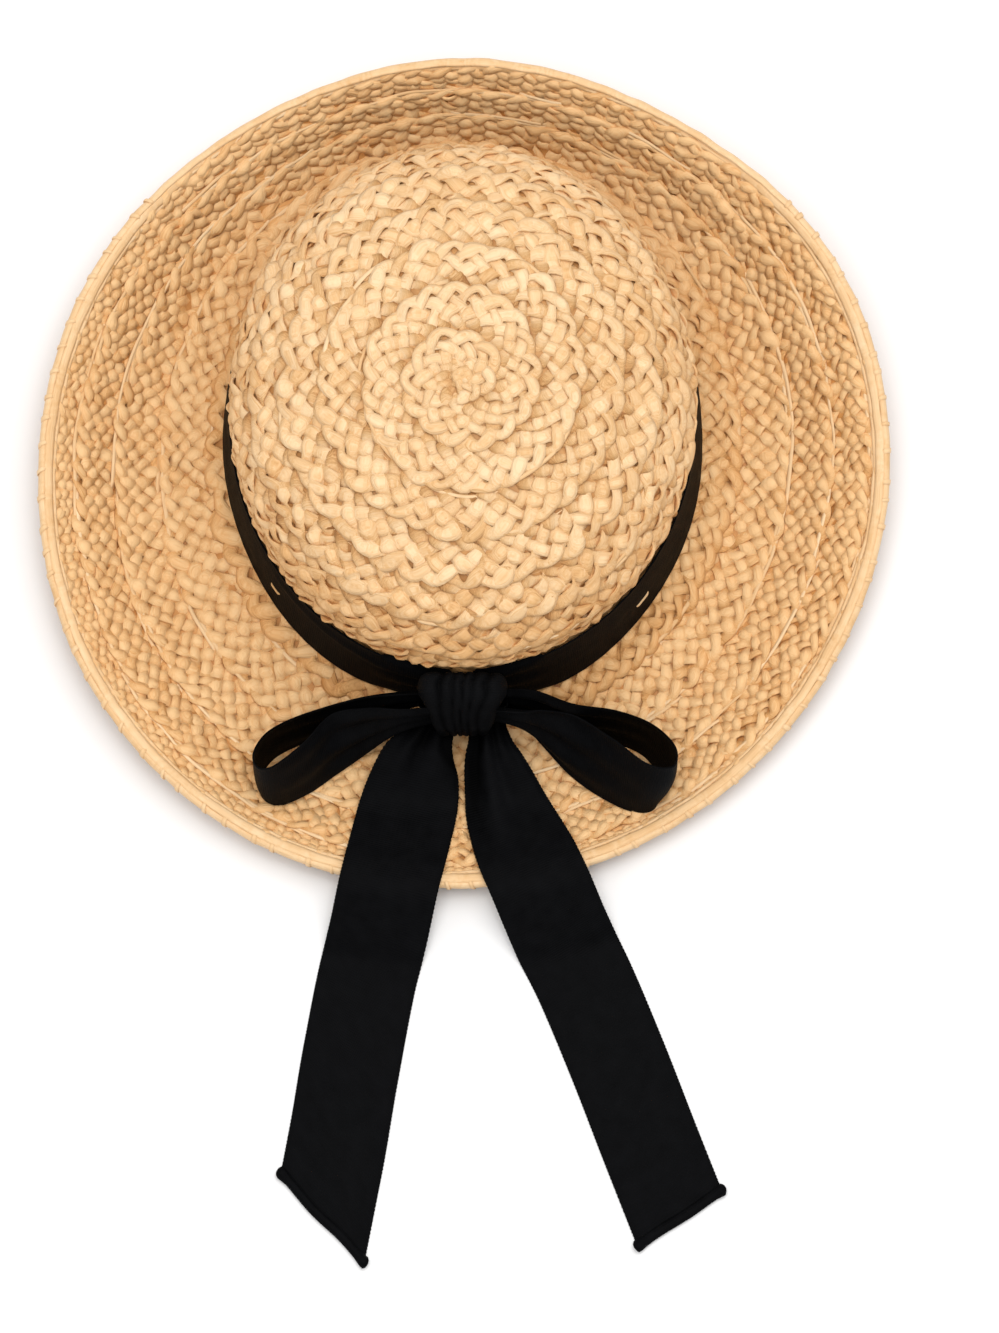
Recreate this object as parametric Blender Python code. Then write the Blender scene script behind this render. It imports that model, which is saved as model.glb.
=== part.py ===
"""A raffia straw hat lying on its brim, with a ribbon round the crown tied in a bow in front.

Each piece is made in the hat's own coordinates: the crown stands on the Z axis, the surface that the
hat lies on is Z = 0, and the bow faces -Y. At the end the whole hat is moved so that the middle of
its footprint is the origin. Angles go round the crown counter-clockwise from +X, seen from above.
"""

import math
from collections import namedtuple

import bpy
from mathutils import Vector

# Head opening and crown, inside sizes at the crown's foot
HEAD_WIDTH = 0.170
HEAD_LENGTH = 0.194
CROWN_HEIGHT = 0.094
STRAW_WALL = 0.0025

# Brim, measured in plan from the head opening outward
BRIM_SIDE = 0.0725
BRIM_FRONT = 0.0735
BRIM_BACK = 0.0385
TROUGH_FRONT = 0.032
TROUGH_BACK = 0.012
REST_WIDTH = 0.006
BASE_LIFT = 0.007
RISE_FRONT = 0.011
RISE_BACK = 0.038

# Binding folded over the brim's edge
BINDING_WALL = 0.001
BINDING_GRIP = 0.0025
LIFT_REACH = 0.006

# Ribbon
RIBBON_WIDTH = 0.0365
RIBBON_WALL = 0.001
BAND_FLARE = 0.0024
BAND_PINCH = 0.006
PINCH_REACH = 0.045
KNOT_WIDTH = 0.032
KNOT_HEIGHT = 0.038
KNOT_DEPTH = 0.014
KNOT_LIFT = 0.005
BOW_REACH = 0.060
TAIL_REACH = 0.187
TAIL_DROP = 0.028
TAIL_FALL = 0.030
CUT_LEFT = 0.0265
CUT_RIGHT = 0.008

# Clearances: between sewn pieces, and under cloth that lies on straw
GAP = 0.0003
CLOTH_GAP = 0.0005

# How finely the round and the draped shapes are divided
ROUND_STEPS = 72
KNOT_STEPS = 14
LOOP_STEPS = 30
LOOP_COLUMNS = 2
TAIL_STEPS = 50
TAIL_COLUMNS = 4

# Outside of the crown: height as a share of the crown's, width as a share of the foot's
CrownRow = namedtuple("CrownRow", "height width")
CROWN_ROWS = (
    CrownRow(0.00, 1.000),
    CrownRow(0.14, 0.997),
    CrownRow(0.42, 0.968),
    CrownRow(0.51, 0.984),
    CrownRow(0.60, 0.972),
    CrownRow(0.70, 0.930),
    CrownRow(0.79, 0.862),
    CrownRow(0.87, 0.755),
    CrownRow(0.93, 0.620),
    CrownRow(0.97, 0.450),
    CrownRow(0.992, 0.240),
    CrownRow(1.00, 0.000),
)

# Underside of the brim, as shares: down from the head opening to the trough, then up to the rim
BrimRow = namedtuple("BrimRow", "out height")
BRIM_FALL = (BrimRow(0.00, 1.00), BrimRow(0.35, 0.82), BrimRow(0.70, 0.28), BrimRow(1.00, 0.00))
BRIM_UPTURN = (
    BrimRow(0.00, 0.00),
    BrimRow(0.20, 0.08),
    BrimRow(0.40, 0.28),
    BrimRow(0.60, 0.57),
    BrimRow(0.80, 0.84),
    BrimRow(1.00, 1.00),
)

# How the handmade rim strays from an even oval, by evenly spaced directions in degrees: outward as a
# share of its distance from the rim's middle, and upward as a share of its height
RimRow = namedtuple("RimRow", "direction swell lift")
RIM_ROWS = (
    RimRow(0, 0.000, 0.00),
    RimRow(30, 0.014, 0.05),
    RimRow(60, 0.000, 0.00),
    RimRow(90, 0.010, 0.04),
    RimRow(120, -0.003, -0.03),
    RimRow(150, -0.003, 0.04),
    RimRow(180, -0.006, 0.06),
    RimRow(210, 0.013, 0.12),
    RimRow(240, 0.020, 0.10),
    RimRow(270, 0.005, 0.00),
    RimRow(300, -0.012, -0.05),
    RimRow(330, -0.018, -0.08),
)

# Half-way line of each loop, from the knot round and back to it. Out from the knot's side and ahead
# of its middle are shares of the loop's reach, lean and splay are degrees back and outward from
# upright, spread is a share of the ribbon's width, and foot is how far the lower edge has come down
# from the knot to the brim
LoopRow = namedtuple("LoopRow", "out ahead lean splay spread foot")
LEFT_LOOP = (
    LoopRow(0.00, -0.05, 0, 0, 0.50, 0.00),
    LoopRow(0.15, -0.01, 6, 0, 0.66, 0.25),
    LoopRow(0.38, 0.04, 13, 0, 0.86, 0.75),
    LoopRow(0.70, 0.14, 16, 2, 0.97, 1.00),
    LoopRow(0.90, 0.25, 15, 2, 1.00, 1.00),
    LoopRow(0.98, 0.37, 12, 3, 1.00, 1.00),
    LoopRow(0.94, 0.47, 10, 3, 1.00, 1.00),
    LoopRow(0.84, 0.48, 10, 3, 1.00, 1.00),
    LoopRow(0.68, 0.37, 14, 1, 0.98, 1.00),
    LoopRow(0.51, 0.23, 17, 0, 0.92, 0.95),
    LoopRow(0.30, 0.13, 12, 0, 0.78, 0.60),
    LoopRow(0.12, 0.08, 5, 0, 0.62, 0.20),
    LoopRow(0.00, 0.07, 0, 0, 0.50, 0.00),
)
RIGHT_LOOP = (
    LoopRow(0.00, -0.05, 0, 0, 0.50, 0.00),
    LoopRow(0.16, -0.01, 8, 0, 0.66, 0.25),
    LoopRow(0.40, 0.09, 16, 0, 0.86, 0.75),
    LoopRow(0.65, 0.18, 20, 3, 0.97, 1.00),
    LoopRow(0.86, 0.28, 19, 8, 1.00, 1.00),
    LoopRow(0.97, 0.40, 15, 13, 1.00, 1.00),
    LoopRow(0.95, 0.51, 13, 13, 1.00, 1.00),
    LoopRow(0.82, 0.53, 18, 7, 1.00, 1.00),
    LoopRow(0.62, 0.42, 25, 2, 0.98, 1.00),
    LoopRow(0.40, 0.24, 25, 0, 0.92, 0.95),
    LoopRow(0.22, 0.13, 14, 0, 0.78, 0.60),
    LoopRow(0.09, 0.09, 5, 0, 0.62, 0.20),
    LoopRow(0.00, 0.07, 0, 0, 0.50, 0.00),
)

# Middle line of each tail in plan, ahead of the knot's middle and aside of the hat's, as shares of
# the tail's reach, and how far the ribbon has opened there, as a share of its width
TailRow = namedtuple("TailRow", "ahead aside spread")
LEFT_TAIL = (
    TailRow(0.000, -0.048, 0.38),
    TailRow(0.045, -0.068, 0.52),
    TailRow(0.085, -0.086, 0.76),
    TailRow(0.140, -0.102, 0.92),
    TailRow(0.200, -0.118, 0.99),
    TailRow(0.290, -0.137, 1.00),
    TailRow(0.410, -0.162, 1.00),
    TailRow(0.520, -0.190, 1.00),
    TailRow(0.680, -0.220, 1.00),
    TailRow(0.840, -0.247, 1.00),
    TailRow(1.000, -0.277, 1.00),
)
RIGHT_TAIL = (
    TailRow(0.000, 0.045, 0.34),
    TailRow(0.045, 0.052, 0.42),
    TailRow(0.085, 0.060, 0.56),
    TailRow(0.140, 0.077, 0.72),
    TailRow(0.200, 0.097, 0.86),
    TailRow(0.290, 0.133, 1.00),
    TailRow(0.410, 0.186, 1.00),
    TailRow(0.520, 0.241, 1.00),
    TailRow(0.680, 0.307, 1.00),
    TailRow(0.840, 0.368, 1.00),
    TailRow(1.000, 0.430, 1.00),
)

# The gathered knot from its left side to its right, as shares of its sizes
KnotRow = namedtuple("KnotRow", "across height depth")
KNOT_ROWS = (
    KnotRow(-0.50, 0.74, 0.60),
    KnotRow(-0.46, 0.90, 0.84),
    KnotRow(-0.34, 1.00, 0.97),
    KnotRow(-0.22, 0.93, 0.90),
    KnotRow(-0.10, 0.99, 1.00),
    KnotRow(0.02, 0.92, 0.90),
    KnotRow(0.14, 0.98, 0.99),
    KnotRow(0.26, 0.92, 0.90),
    KnotRow(0.37, 0.98, 0.96),
    KnotRow(0.46, 0.89, 0.82),
    KnotRow(0.50, 0.74, 0.60),
)
KNOT_SQUARENESS = 2.8

# Material: red, green, blue, roughness
STRAW = (0.62, 0.40, 0.20, 0.62)
BOUND_STRAW = (0.72, 0.50, 0.27, 0.50)
BLACK_RIBBON = (0.012, 0.012, 0.014, 0.75)


def clamp(value):
    return min(max(value, 0.0), 1.0)


def mix(first, second, share):
    return first * (1 - share) + second * share


def smooth(share):
    """0 up to 0, 1 from 1 on, and an even S between them."""
    share = clamp(share)
    return share * share * (3 - 2 * share)


def bend_through(values, place):
    """A smooth curve through the values, at a place counted in steps from the first one."""
    last = len(values) - 1
    index = min(int(place), last - 1)
    part = place - index
    before, start, end, after = (values[min(max(index + k, 0), last)] for k in (-1, 0, 1, 2))
    into = (end - before) / 2
    out_of = (after - start) / 2
    square, cube = part * part, part**3
    return (
        start * (2 * cube - 3 * square + 1)
        + into * (cube - 2 * square + part)
        + end * (3 * square - 2 * cube)
        + out_of * (cube - square)
    )


def read_rows(rows, share):
    """The row at a share of the way through a table, with every column bent smoothly."""
    place = clamp(share) * (len(rows) - 1)
    return type(rows[0])(*(bend_through(column, place) for column in zip(*rows)))


def straight_between(rows, column, value, wanted):
    """What the wanted column holds where another one passes a value, straight between the rows."""
    for low, high in zip(rows, rows[1:]):
        start, end = getattr(low, column), getattr(high, column)
        if value <= end or high is rows[-1]:
            part = clamp((value - start) / (end - start))
            return mix(getattr(low, wanted), getattr(high, wanted), part)


def rim_row(angle):
    """The rim's swell and lift in a direction, bent smoothly all the way round."""
    step = RIM_ROWS[1].direction - RIM_ROWS[0].direction
    place = math.degrees(angle) % 360 / step
    wrapped = RIM_ROWS[-1:] + RIM_ROWS + RIM_ROWS[:2]
    swell = bend_through([row.swell for row in wrapped], place + 1)
    lift = bend_through([row.lift for row in wrapped], place + 1)
    return swell, lift


def backness(angle):
    """0 at the front of the hat and 1 at its back."""
    return (1 + math.sin(angle)) / 2


def oval(angle, half_width, half_length):
    return Vector((half_width * math.cos(angle), half_length * math.sin(angle), 0))


def head_edge(angle):
    return oval(angle, HEAD_WIDTH / 2, HEAD_LENGTH / 2)


def rim_edge(angle):
    """The brim's outer edge in plan."""
    swell, _ = rim_row(angle)
    half_width = HEAD_WIDTH / 2 + BRIM_SIDE
    half_length = (HEAD_LENGTH + BRIM_FRONT + BRIM_BACK) / 2
    middle = Vector((0, (BRIM_BACK - BRIM_FRONT) / 2, 0))
    return middle + oval(angle, half_width, half_length) * (1 + swell)


def reach_at(angle):
    return (rim_edge(angle) - head_edge(angle)).length


def brim_rows(angle):
    """The underside's rows in one direction: share of the way out, and height."""
    back = backness(angle)
    _, lift = rim_row(angle)
    trough = mix(TROUGH_FRONT, TROUGH_BACK, back)
    rest_start = (trough - REST_WIDTH / 2) / reach_at(angle)
    rest_end = (trough + REST_WIDTH / 2) / reach_at(angle)
    rise = mix(RISE_FRONT, RISE_BACK, back) * (1 + lift)
    fall = [BrimRow(row.out * rest_start, row.height * BASE_LIFT) for row in BRIM_FALL]
    upturn = [BrimRow(mix(rest_end, 1, row.out), row.height * rise) for row in BRIM_UPTURN]
    return fall + upturn


def brim_slope(angle, share):
    """How steeply the underside climbs on the way out, as a rise over a run."""
    rows = brim_rows(angle)
    for low, high in zip(rows, rows[1:]):
        if share <= high.out or high is rows[-1]:
            return (high.height - low.height) / ((high.out - low.out) * reach_at(angle))


def brim_top(angle, share):
    """Height of the brim's upper side, a wall's thickness off the underside."""
    under = straight_between(brim_rows(angle), "out", share, "height")
    return under + STRAW_WALL * math.hypot(1, brim_slope(angle, share))


def place_on_brim(x, y):
    """The direction and the share of the way out that a place in plan has. Past the rim it is over 1."""
    rim_middle = (BRIM_BACK - BRIM_FRONT) / 2
    inside, outside = 0.0, 4.0
    for _ in range(30):
        share = (inside + outside) / 2
        half_width = HEAD_WIDTH / 2 + BRIM_SIDE * share
        half_length = (HEAD_LENGTH + (BRIM_FRONT + BRIM_BACK) * share) / 2
        middle = Vector((0, rim_middle * share, 0))
        angle = math.atan2((y - middle.y) / half_length, x / half_width)
        ring = mix(head_edge(angle), rim_edge(angle), share)
        if (Vector((x, y, 0)) - middle).length > (ring - middle).length:
            inside = share
        else:
            outside = share
    return angle, share


def binding_nose():
    """How far the binding stands out from the brim, at its edge and above and below it."""
    return GAP + BINDING_WALL


def lying_height(x, y):
    """Height of what cloth lies on: the brim, the bound rim and, past a soft fall, the floor."""
    angle, share = place_on_brim(x, y)
    past_rim = (share - 1) * reach_at(angle)
    onto_nose = clamp(past_rim / binding_nose()) * binding_nose()
    straw = brim_top(angle, min(share, 1)) + brim_slope(angle, 1) * onto_nose
    bound = 1 - smooth((abs(past_rim) - LIFT_REACH) / LIFT_REACH)
    fallen = smooth((past_rim - binding_nose()) / TAIL_FALL)
    return (straw + bound * binding_nose()) * (1 - fallen)


def crown_half(share):
    """The crown's outer half width and half length at a width share."""
    return (HEAD_WIDTH / 2 + STRAW_WALL) * share, (HEAD_LENGTH / 2 + STRAW_WALL) * share


def crown_foot():
    return BASE_LIFT + STRAW_WALL + GAP


def band_front():
    """How far the front of the ribbon round the crown lies from the crown's axis."""
    return crown_half(1)[1] + GAP + RIBBON_WALL


def knot_middle():
    return Vector((0, -(band_front() + GAP + KNOT_DEPTH / 2), crown_foot() + KNOT_LIFT + KNOT_HEIGHT / 2))


def material(name, look):
    made = bpy.data.materials.new(name)
    made.use_nodes = True
    shader = made.node_tree.nodes["Principled BSDF"]
    red, green, blue, roughness = look
    shader.inputs["Base Color"].default_value = (red, green, blue, 1)
    shader.inputs["Roughness"].default_value = roughness
    shader.inputs["Metallic"].default_value = 0
    made.diffuse_color = (red, green, blue, 1)
    return made


def add_piece(name, points, faces, look):
    mesh = bpy.data.meshes.new(name)
    mesh.from_pydata(points, [], faces)
    mesh.materials.append(material(name, look))
    mesh.shade_smooth()
    mesh.set_sharp_from_angle(angle=math.radians(45))
    piece = bpy.data.objects.new(name, mesh)
    bpy.context.collection.objects.link(piece)
    piece.parent = bpy.data.objects["hat"]
    return piece


def thicken(piece, wall, side):
    """Gives a surface its wall: side -1 goes against its normals, 1 along them, 0 both ways."""
    shell = piece.modifiers.new("wall", "SOLIDIFY")
    shell.thickness = wall
    shell.offset = side
    shell.use_even_offset = True
    shell.use_quality_normals = True


def faces_between(row_count, column_count, ring_rows=False, ring_columns=False):
    """Four-sided faces over points laid out row by row, closed round where it is a ring."""
    faces = []
    for row in range(row_count if ring_rows else row_count - 1):
        next_row = (row + 1) % row_count
        for column in range(column_count if ring_columns else column_count - 1):
            next_column = (column + 1) % column_count
            faces.append(
                (
                    row * column_count + column,
                    row * column_count + next_column,
                    next_row * column_count + next_column,
                    next_row * column_count + column,
                )
            )
    return faces


def round_angles():
    return [2 * math.pi * step / ROUND_STEPS for step in range(ROUND_STEPS)]


def add_crown():
    """A dome of braid, oval in plan, that stands on the brim's inner edge and is open below."""
    points = []
    for row in CROWN_ROWS[:-1]:
        half_width, half_length = crown_half(row.width)
        height = Vector((0, 0, crown_foot() + CROWN_HEIGHT * row.height))
        points += [oval(angle, half_width, half_length) + height for angle in round_angles()]
    faces = faces_between(len(CROWN_ROWS) - 1, ROUND_STEPS, ring_columns=True)
    last_ring = len(points) - ROUND_STEPS
    points.append(Vector((0, 0, crown_foot() + CROWN_HEIGHT)))
    for step in range(ROUND_STEPS):
        faces.append((last_ring + step, last_ring + (step + 1) % ROUND_STEPS, len(points) - 1))
    crown = add_piece("crown", points, faces, STRAW)
    thicken(crown, STRAW_WALL, -1)


def add_brim():
    """The brim from the head opening to its edge. It lies on the flat ring under its trough."""
    columns = []
    for angle in round_angles():
        rows = brim_rows(angle)
        columns.append(
            [mix(head_edge(angle), rim_edge(angle), row.out) + Vector((0, 0, row.height)) for row in rows]
        )
    points = [point for row in zip(*columns) for point in row]
    faces = faces_between(len(columns[0]), ROUND_STEPS, ring_columns=True)
    brim = add_piece("brim", points, [face[::-1] for face in faces], STRAW)
    thicken(brim, STRAW_WALL, 1)


def add_rim_binding():
    """A smooth strip folded over the brim's edge, with the edge in its slot."""
    inside = STRAW_WALL / 2 + GAP
    outside = inside + BINDING_WALL
    nose = binding_nose()
    section = (
        (-BINDING_GRIP, outside),
        (nose * 0.3, outside),
        (nose, outside * 0.45),
        (nose, -outside * 0.45),
        (nose * 0.3, -outside),
        (-BINDING_GRIP, -outside),
        (-BINDING_GRIP, -inside),
        (GAP, -inside),
        (GAP, inside),
        (-BINDING_GRIP, inside),
    )
    points = []
    for angle in round_angles():
        outward = (rim_edge(angle) - head_edge(angle)).normalized()
        slope = math.atan(brim_slope(angle, 1))
        along = outward * math.cos(slope) + Vector((0, 0, math.sin(slope)))
        upward = Vector((0, 0, math.cos(slope))) - outward * math.sin(slope)
        under_edge = rim_edge(angle) + Vector((0, 0, brim_rows(angle)[-1].height))
        edge = under_edge + upward * STRAW_WALL / 2
        points += [edge + along * out + upward * up for out, up in section]
    faces = faces_between(ROUND_STEPS, len(section), ring_rows=True, ring_columns=True)
    add_piece("rim_binding", points, faces, BOUND_STRAW)


def add_hat_band():
    """The ribbon round the foot of the crown. It flares below and is drawn in at the knot."""
    foot = crown_foot() + GAP
    kinks = [row.height * CROWN_HEIGHT - GAP for row in CROWN_ROWS]
    levels = [0.0] + [kink for kink in kinks if 0 < kink < RIBBON_WIDTH] + [RIBBON_WIDTH]
    points = []
    for level in levels:
        for angle in round_angles():
            half_width, half_length = crown_half(1)
            from_front = math.hypot(half_width * math.cos(angle), half_length * (1 + math.sin(angle)))
            pinched = 1 - smooth(from_front / PINCH_REACH)
            share = level / RIBBON_WIDTH
            rise = level + BAND_PINCH * pinched * (1 - 2 * share)
            toward_front = (1 - backness(angle)) ** 2
            flare = BAND_FLARE * toward_front * (1 - pinched) * (1 - smooth(share / 0.5))
            width = straight_between(CROWN_ROWS, "height", (rise + GAP) / CROWN_HEIGHT, "width")
            half_width, half_length = crown_half(width)
            off = GAP + flare
            ring = oval(angle, half_width + off, half_length + off)
            points.append(ring + Vector((0, 0, foot + rise)))
    faces = faces_between(len(levels), ROUND_STEPS, ring_columns=True)
    band = add_piece("hat_band", points, faces, BLACK_RIBBON)
    thicken(band, RIBBON_WALL, 1)


def add_bow_knot():
    """The ribbon wrapped over the middle of the bow, gathered in folds that run up and down."""
    middle = knot_middle()
    points = []
    for row in KNOT_ROWS:
        for step in range(KNOT_STEPS):
            turn = 2 * math.pi * (step + 0.5) / KNOT_STEPS
            ahead, up = -math.cos(turn), math.sin(turn)
            size = (abs(ahead) ** KNOT_SQUARENESS + abs(up) ** KNOT_SQUARENESS) ** (-1 / KNOT_SQUARENESS)
            back = middle.y + KNOT_DEPTH / 2
            half_depth = KNOT_DEPTH * row.depth / 2
            points.append(
                (
                    KNOT_WIDTH * row.across,
                    back - half_depth + half_depth * ahead * size,
                    middle.z + KNOT_HEIGHT / 2 * row.height * up * size,
                )
            )
    faces = faces_between(len(KNOT_ROWS), KNOT_STEPS, ring_columns=True)
    faces.append(tuple(range(KNOT_STEPS))[::-1])
    last_ring = len(points) - KNOT_STEPS
    faces.append(tuple(range(last_ring, len(points))))
    add_piece("bow_knot", points, [face[::-1] for face in faces], BLACK_RIBBON)


def loop_edges(rows, side, share):
    """The lower and the upper edge of a loop at a share of its length."""
    row = read_rows(rows, share)
    knot = knot_middle()
    x = side * (KNOT_WIDTH / 2 + GAP + BOW_REACH * max(row.out, 0))
    y = knot.y - BOW_REACH * row.ahead
    width = RIBBON_WIDTH * clamp(row.spread)
    back = width * math.sin(math.radians(row.lean))
    out = side * width * math.sin(math.radians(row.splay))
    up = math.sqrt(width**2 - back**2 - out**2)
    lower = Vector((x - out / 2, y - back / 2, 0))
    on_brim = brim_top(*place_on_brim(lower.x, lower.y)) + CLOTH_GAP
    at_knot = max(knot.z - up / 2, on_brim)
    lower.z = mix(at_knot, on_brim, smooth(row.foot))
    return lower, lower + Vector((out, back, up))


def add_loop(name, rows, side):
    """A ribbon that leaves the knot, stands on its edge on the brim, turns and comes back."""
    points = []
    for step in range(LOOP_STEPS + 1):
        lower, upper = loop_edges(rows, side, step / LOOP_STEPS)
        points += [mix(lower, upper, column / LOOP_COLUMNS) for column in range(LOOP_COLUMNS + 1)]
    loop = add_piece(name, points, faces_between(LOOP_STEPS + 1, LOOP_COLUMNS + 1), BLACK_RIBBON)
    thicken(loop, RIBBON_WALL, 0)


def tail_point(rows, side, cut, share, across):
    """A point under a tail: share is the way from knot to tip, and across is -0.5 to 0.5."""
    row = read_rows(rows, share)
    later, earlier = read_rows(rows, share + 0.01), read_rows(rows, share - 0.01)
    ahead = Vector((later.aside - earlier.aside, earlier.ahead - later.ahead, 0)).normalized()
    to_outside = Vector((-ahead.y, ahead.x, 0)) * side
    knot = knot_middle()
    middle = Vector((row.aside * TAIL_REACH, knot.y - row.ahead * TAIL_REACH, 0))
    slant = -ahead * cut * across * smooth((share - 0.5) / 0.5)
    place = middle + to_outside * RIBBON_WIDTH * clamp(row.spread) * across + slant
    floor_or_brim = lying_height(place.x, place.y)
    lying = floor_or_brim + CLOTH_GAP * smooth(floor_or_brim / STRAW_WALL)
    under_knot = knot.z - KNOT_HEIGHT / 2 - GAP - RIBBON_WALL
    dropped = smooth((knot.y - place.y - KNOT_DEPTH / 2) / TAIL_DROP)
    place.z = mix(max(under_knot, lying), lying, dropped)
    return place


def add_tail(name, rows, side, cut):
    """A ribbon end that comes out under the knot, crosses the brim and its rim and lies on the floor."""
    points = []
    for step in range(TAIL_STEPS + 1):
        for column in range(TAIL_COLUMNS + 1):
            across = side * (column / TAIL_COLUMNS - 0.5)
            points.append(tail_point(rows, side, cut, step / TAIL_STEPS, across))
    faces = faces_between(TAIL_STEPS + 1, TAIL_COLUMNS + 1)
    tail = add_piece(name, points, [face[::-1] for face in faces], BLACK_RIBBON)
    thicken(tail, RIBBON_WALL, 1)


def stand_on_origin(hat):
    """Moves the hat so that the middle of its footprint is the origin."""
    bpy.context.view_layer.update()
    graph = bpy.context.evaluated_depsgraph_get()
    corners = []
    for piece in hat.children:
        corners += [Vector(corner) for corner in piece.evaluated_get(graph).bound_box]
    for axis in range(2):
        places = [corner[axis] for corner in corners]
        hat.location[axis] = -(min(places) + max(places)) / 2


def main():
    for old in list(bpy.data.objects):
        bpy.data.objects.remove(old)
    hat = bpy.data.objects.new("hat", None)
    bpy.context.collection.objects.link(hat)
    add_crown()
    add_brim()
    add_rim_binding()
    add_hat_band()
    add_bow_knot()
    add_loop("bow_loop_left", LEFT_LOOP, -1)
    add_loop("bow_loop_right", RIGHT_LOOP, 1)
    add_tail("tail_left", LEFT_TAIL, -1, CUT_LEFT)
    add_tail("tail_right", RIGHT_TAIL, 1, CUT_RIGHT)
    stand_on_origin(hat)


main()
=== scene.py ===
# %% [markdown]
# # A raffia straw hat with a ribbon bow
#
# The CAD part gives the hat's walls: a crown, a brim, a binding and the pieces of a ribbon bow. This
# lesson dresses them as the real thing is made. One long plait of raffia is sewn round and round from
# the middle of the crown to the rim, the rim is bound with smooth raffia, and a black ribbon goes round
# the crown and is tied in front. Lengths are in metres.
#
# Directions are counted in turns round the hat, anticlockwise from its right: the bow is at 0.75 and the
# back is at 0.25.

import math

import bpy
import numpy as np
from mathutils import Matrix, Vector
from mathutils.bvhtree import BVHTree


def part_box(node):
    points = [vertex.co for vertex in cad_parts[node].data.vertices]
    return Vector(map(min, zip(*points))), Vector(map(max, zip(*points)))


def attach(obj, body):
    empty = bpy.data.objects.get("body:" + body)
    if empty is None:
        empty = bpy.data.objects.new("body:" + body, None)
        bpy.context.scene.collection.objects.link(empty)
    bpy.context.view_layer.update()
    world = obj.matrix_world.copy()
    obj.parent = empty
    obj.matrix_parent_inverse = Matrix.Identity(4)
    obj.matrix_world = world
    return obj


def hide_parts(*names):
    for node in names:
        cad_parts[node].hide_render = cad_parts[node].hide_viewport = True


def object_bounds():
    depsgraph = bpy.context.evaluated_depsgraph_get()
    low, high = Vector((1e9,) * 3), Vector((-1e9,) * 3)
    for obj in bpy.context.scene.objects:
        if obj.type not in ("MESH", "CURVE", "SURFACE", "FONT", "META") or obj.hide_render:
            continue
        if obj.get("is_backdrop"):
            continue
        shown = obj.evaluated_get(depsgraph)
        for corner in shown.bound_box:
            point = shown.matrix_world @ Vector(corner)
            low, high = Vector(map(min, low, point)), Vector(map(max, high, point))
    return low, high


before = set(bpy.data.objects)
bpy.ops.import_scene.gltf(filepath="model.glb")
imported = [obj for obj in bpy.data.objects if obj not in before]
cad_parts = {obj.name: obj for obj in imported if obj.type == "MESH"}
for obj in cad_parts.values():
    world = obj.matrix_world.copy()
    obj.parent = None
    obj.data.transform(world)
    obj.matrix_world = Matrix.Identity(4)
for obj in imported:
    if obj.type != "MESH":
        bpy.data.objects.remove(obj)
cad_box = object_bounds()
print("nodes:", sorted(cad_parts))
print("the CAD box in mm:", [[round(side * 1000, 1) for side in corner] for corner in cad_box])

# %% [markdown]
# ## Colours as they are
#
# The floor in the picture is plain white and the straw is close to it in brightness, so the colours
# are shown without a film-like curve. Every random choice comes from one seeded generator, which makes
# the hat the same in each run.

# %% Colour view and chance
bpy.context.scene.view_settings.view_transform = "Standard"
chance = np.random.default_rng(26)
MM = 0.001
BACK, FRONT = 0.25, 0.75
print("colour view:", bpy.context.scene.view_settings.view_transform)

# %% [markdown]
# ## Small tools for curves
#
# Strands and ribbons are long and thin, so nearly everything here is a row of places along a line.
# These helpers ease a value in and out, bend a smooth curve through a short table, and give a wandering
# value that changes slowly, as anything made by hand does.


# %% Curve helpers
def ease(share):
    """0 up to 0, 1 from 1 on, and an even S between them."""
    share = np.clip(share, 0, 1)
    return share * share * (3 - 2 * share)


def bend_through(values, places):
    """A smooth curve through the values, at places counted in steps from the first one."""
    values = np.asarray(values, float)
    last = len(values) - 1
    index = np.clip(np.floor(places).astype(int), 0, last - 1)
    part = np.clip(places - index, 0, 1)
    before, start, end, after = (values[np.clip(index + k, 0, last)] for k in (-1, 0, 1, 2))
    into, out_of = (end - before) / 2, (after - start) / 2
    square, cube = part**2, part**3
    return (
        start * (2 * cube - 3 * square + 1)
        + into * (cube - 2 * square + part)
        + end * (3 * square - 2 * cube)
        + out_of * (cube - square)
    )


def wander(places, step, size):
    """A value that drifts up to about size either way, with a new aim at every step of the places."""
    steps = (places - places.min()) / step
    aims = chance.normal(0, size / 2, int(steps.max()) + 3)
    return bend_through(np.clip(aims, -size, size), steps)


def unit(vectors):
    """The vectors at a length of 1."""
    return vectors / np.maximum(np.linalg.norm(vectors, axis=-1, keepdims=True), 1e-12)


def length_along(points):
    """The distance from the first point to each point, along the line."""
    steps = np.linalg.norm(np.diff(points, axis=0), axis=1)
    return np.concatenate([[0], np.cumsum(steps)])


def ahead_of(points, closed):
    """The way on from each row of points to the next, on a closed line or on one with two ends."""
    if closed:
        return np.roll(points, -1, axis=0) - np.roll(points, 1, axis=0)
    return np.gradient(points, axis=0)


def toward(turn):
    """The level way out from the axis in a direction."""
    return np.array([math.cos(turn * math.tau), math.sin(turn * math.tau), 0])


print("an ease at a quarter, a half and three quarters:", ease(np.array([0.25, 0.5, 0.75])))

# %% [markdown]
# ## From rows of points to a mesh
#
# A mesh with a hundred thousand faces is quick to make when its points and faces go in as whole arrays.
# Each piece gets a UV map called strand: its first number is the distance along the strand in metres,
# and its second is the place round or across it. A point value called tone says how light a strand is,
# by its own shade and by painted shade and light.


# %% A mesh from arrays
def add_object(name, data):
    """An object of a mesh, a light or a camera, put in the scene."""
    made = bpy.data.objects.new(name, data)
    bpy.context.scene.collection.objects.link(made)
    return made


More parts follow.
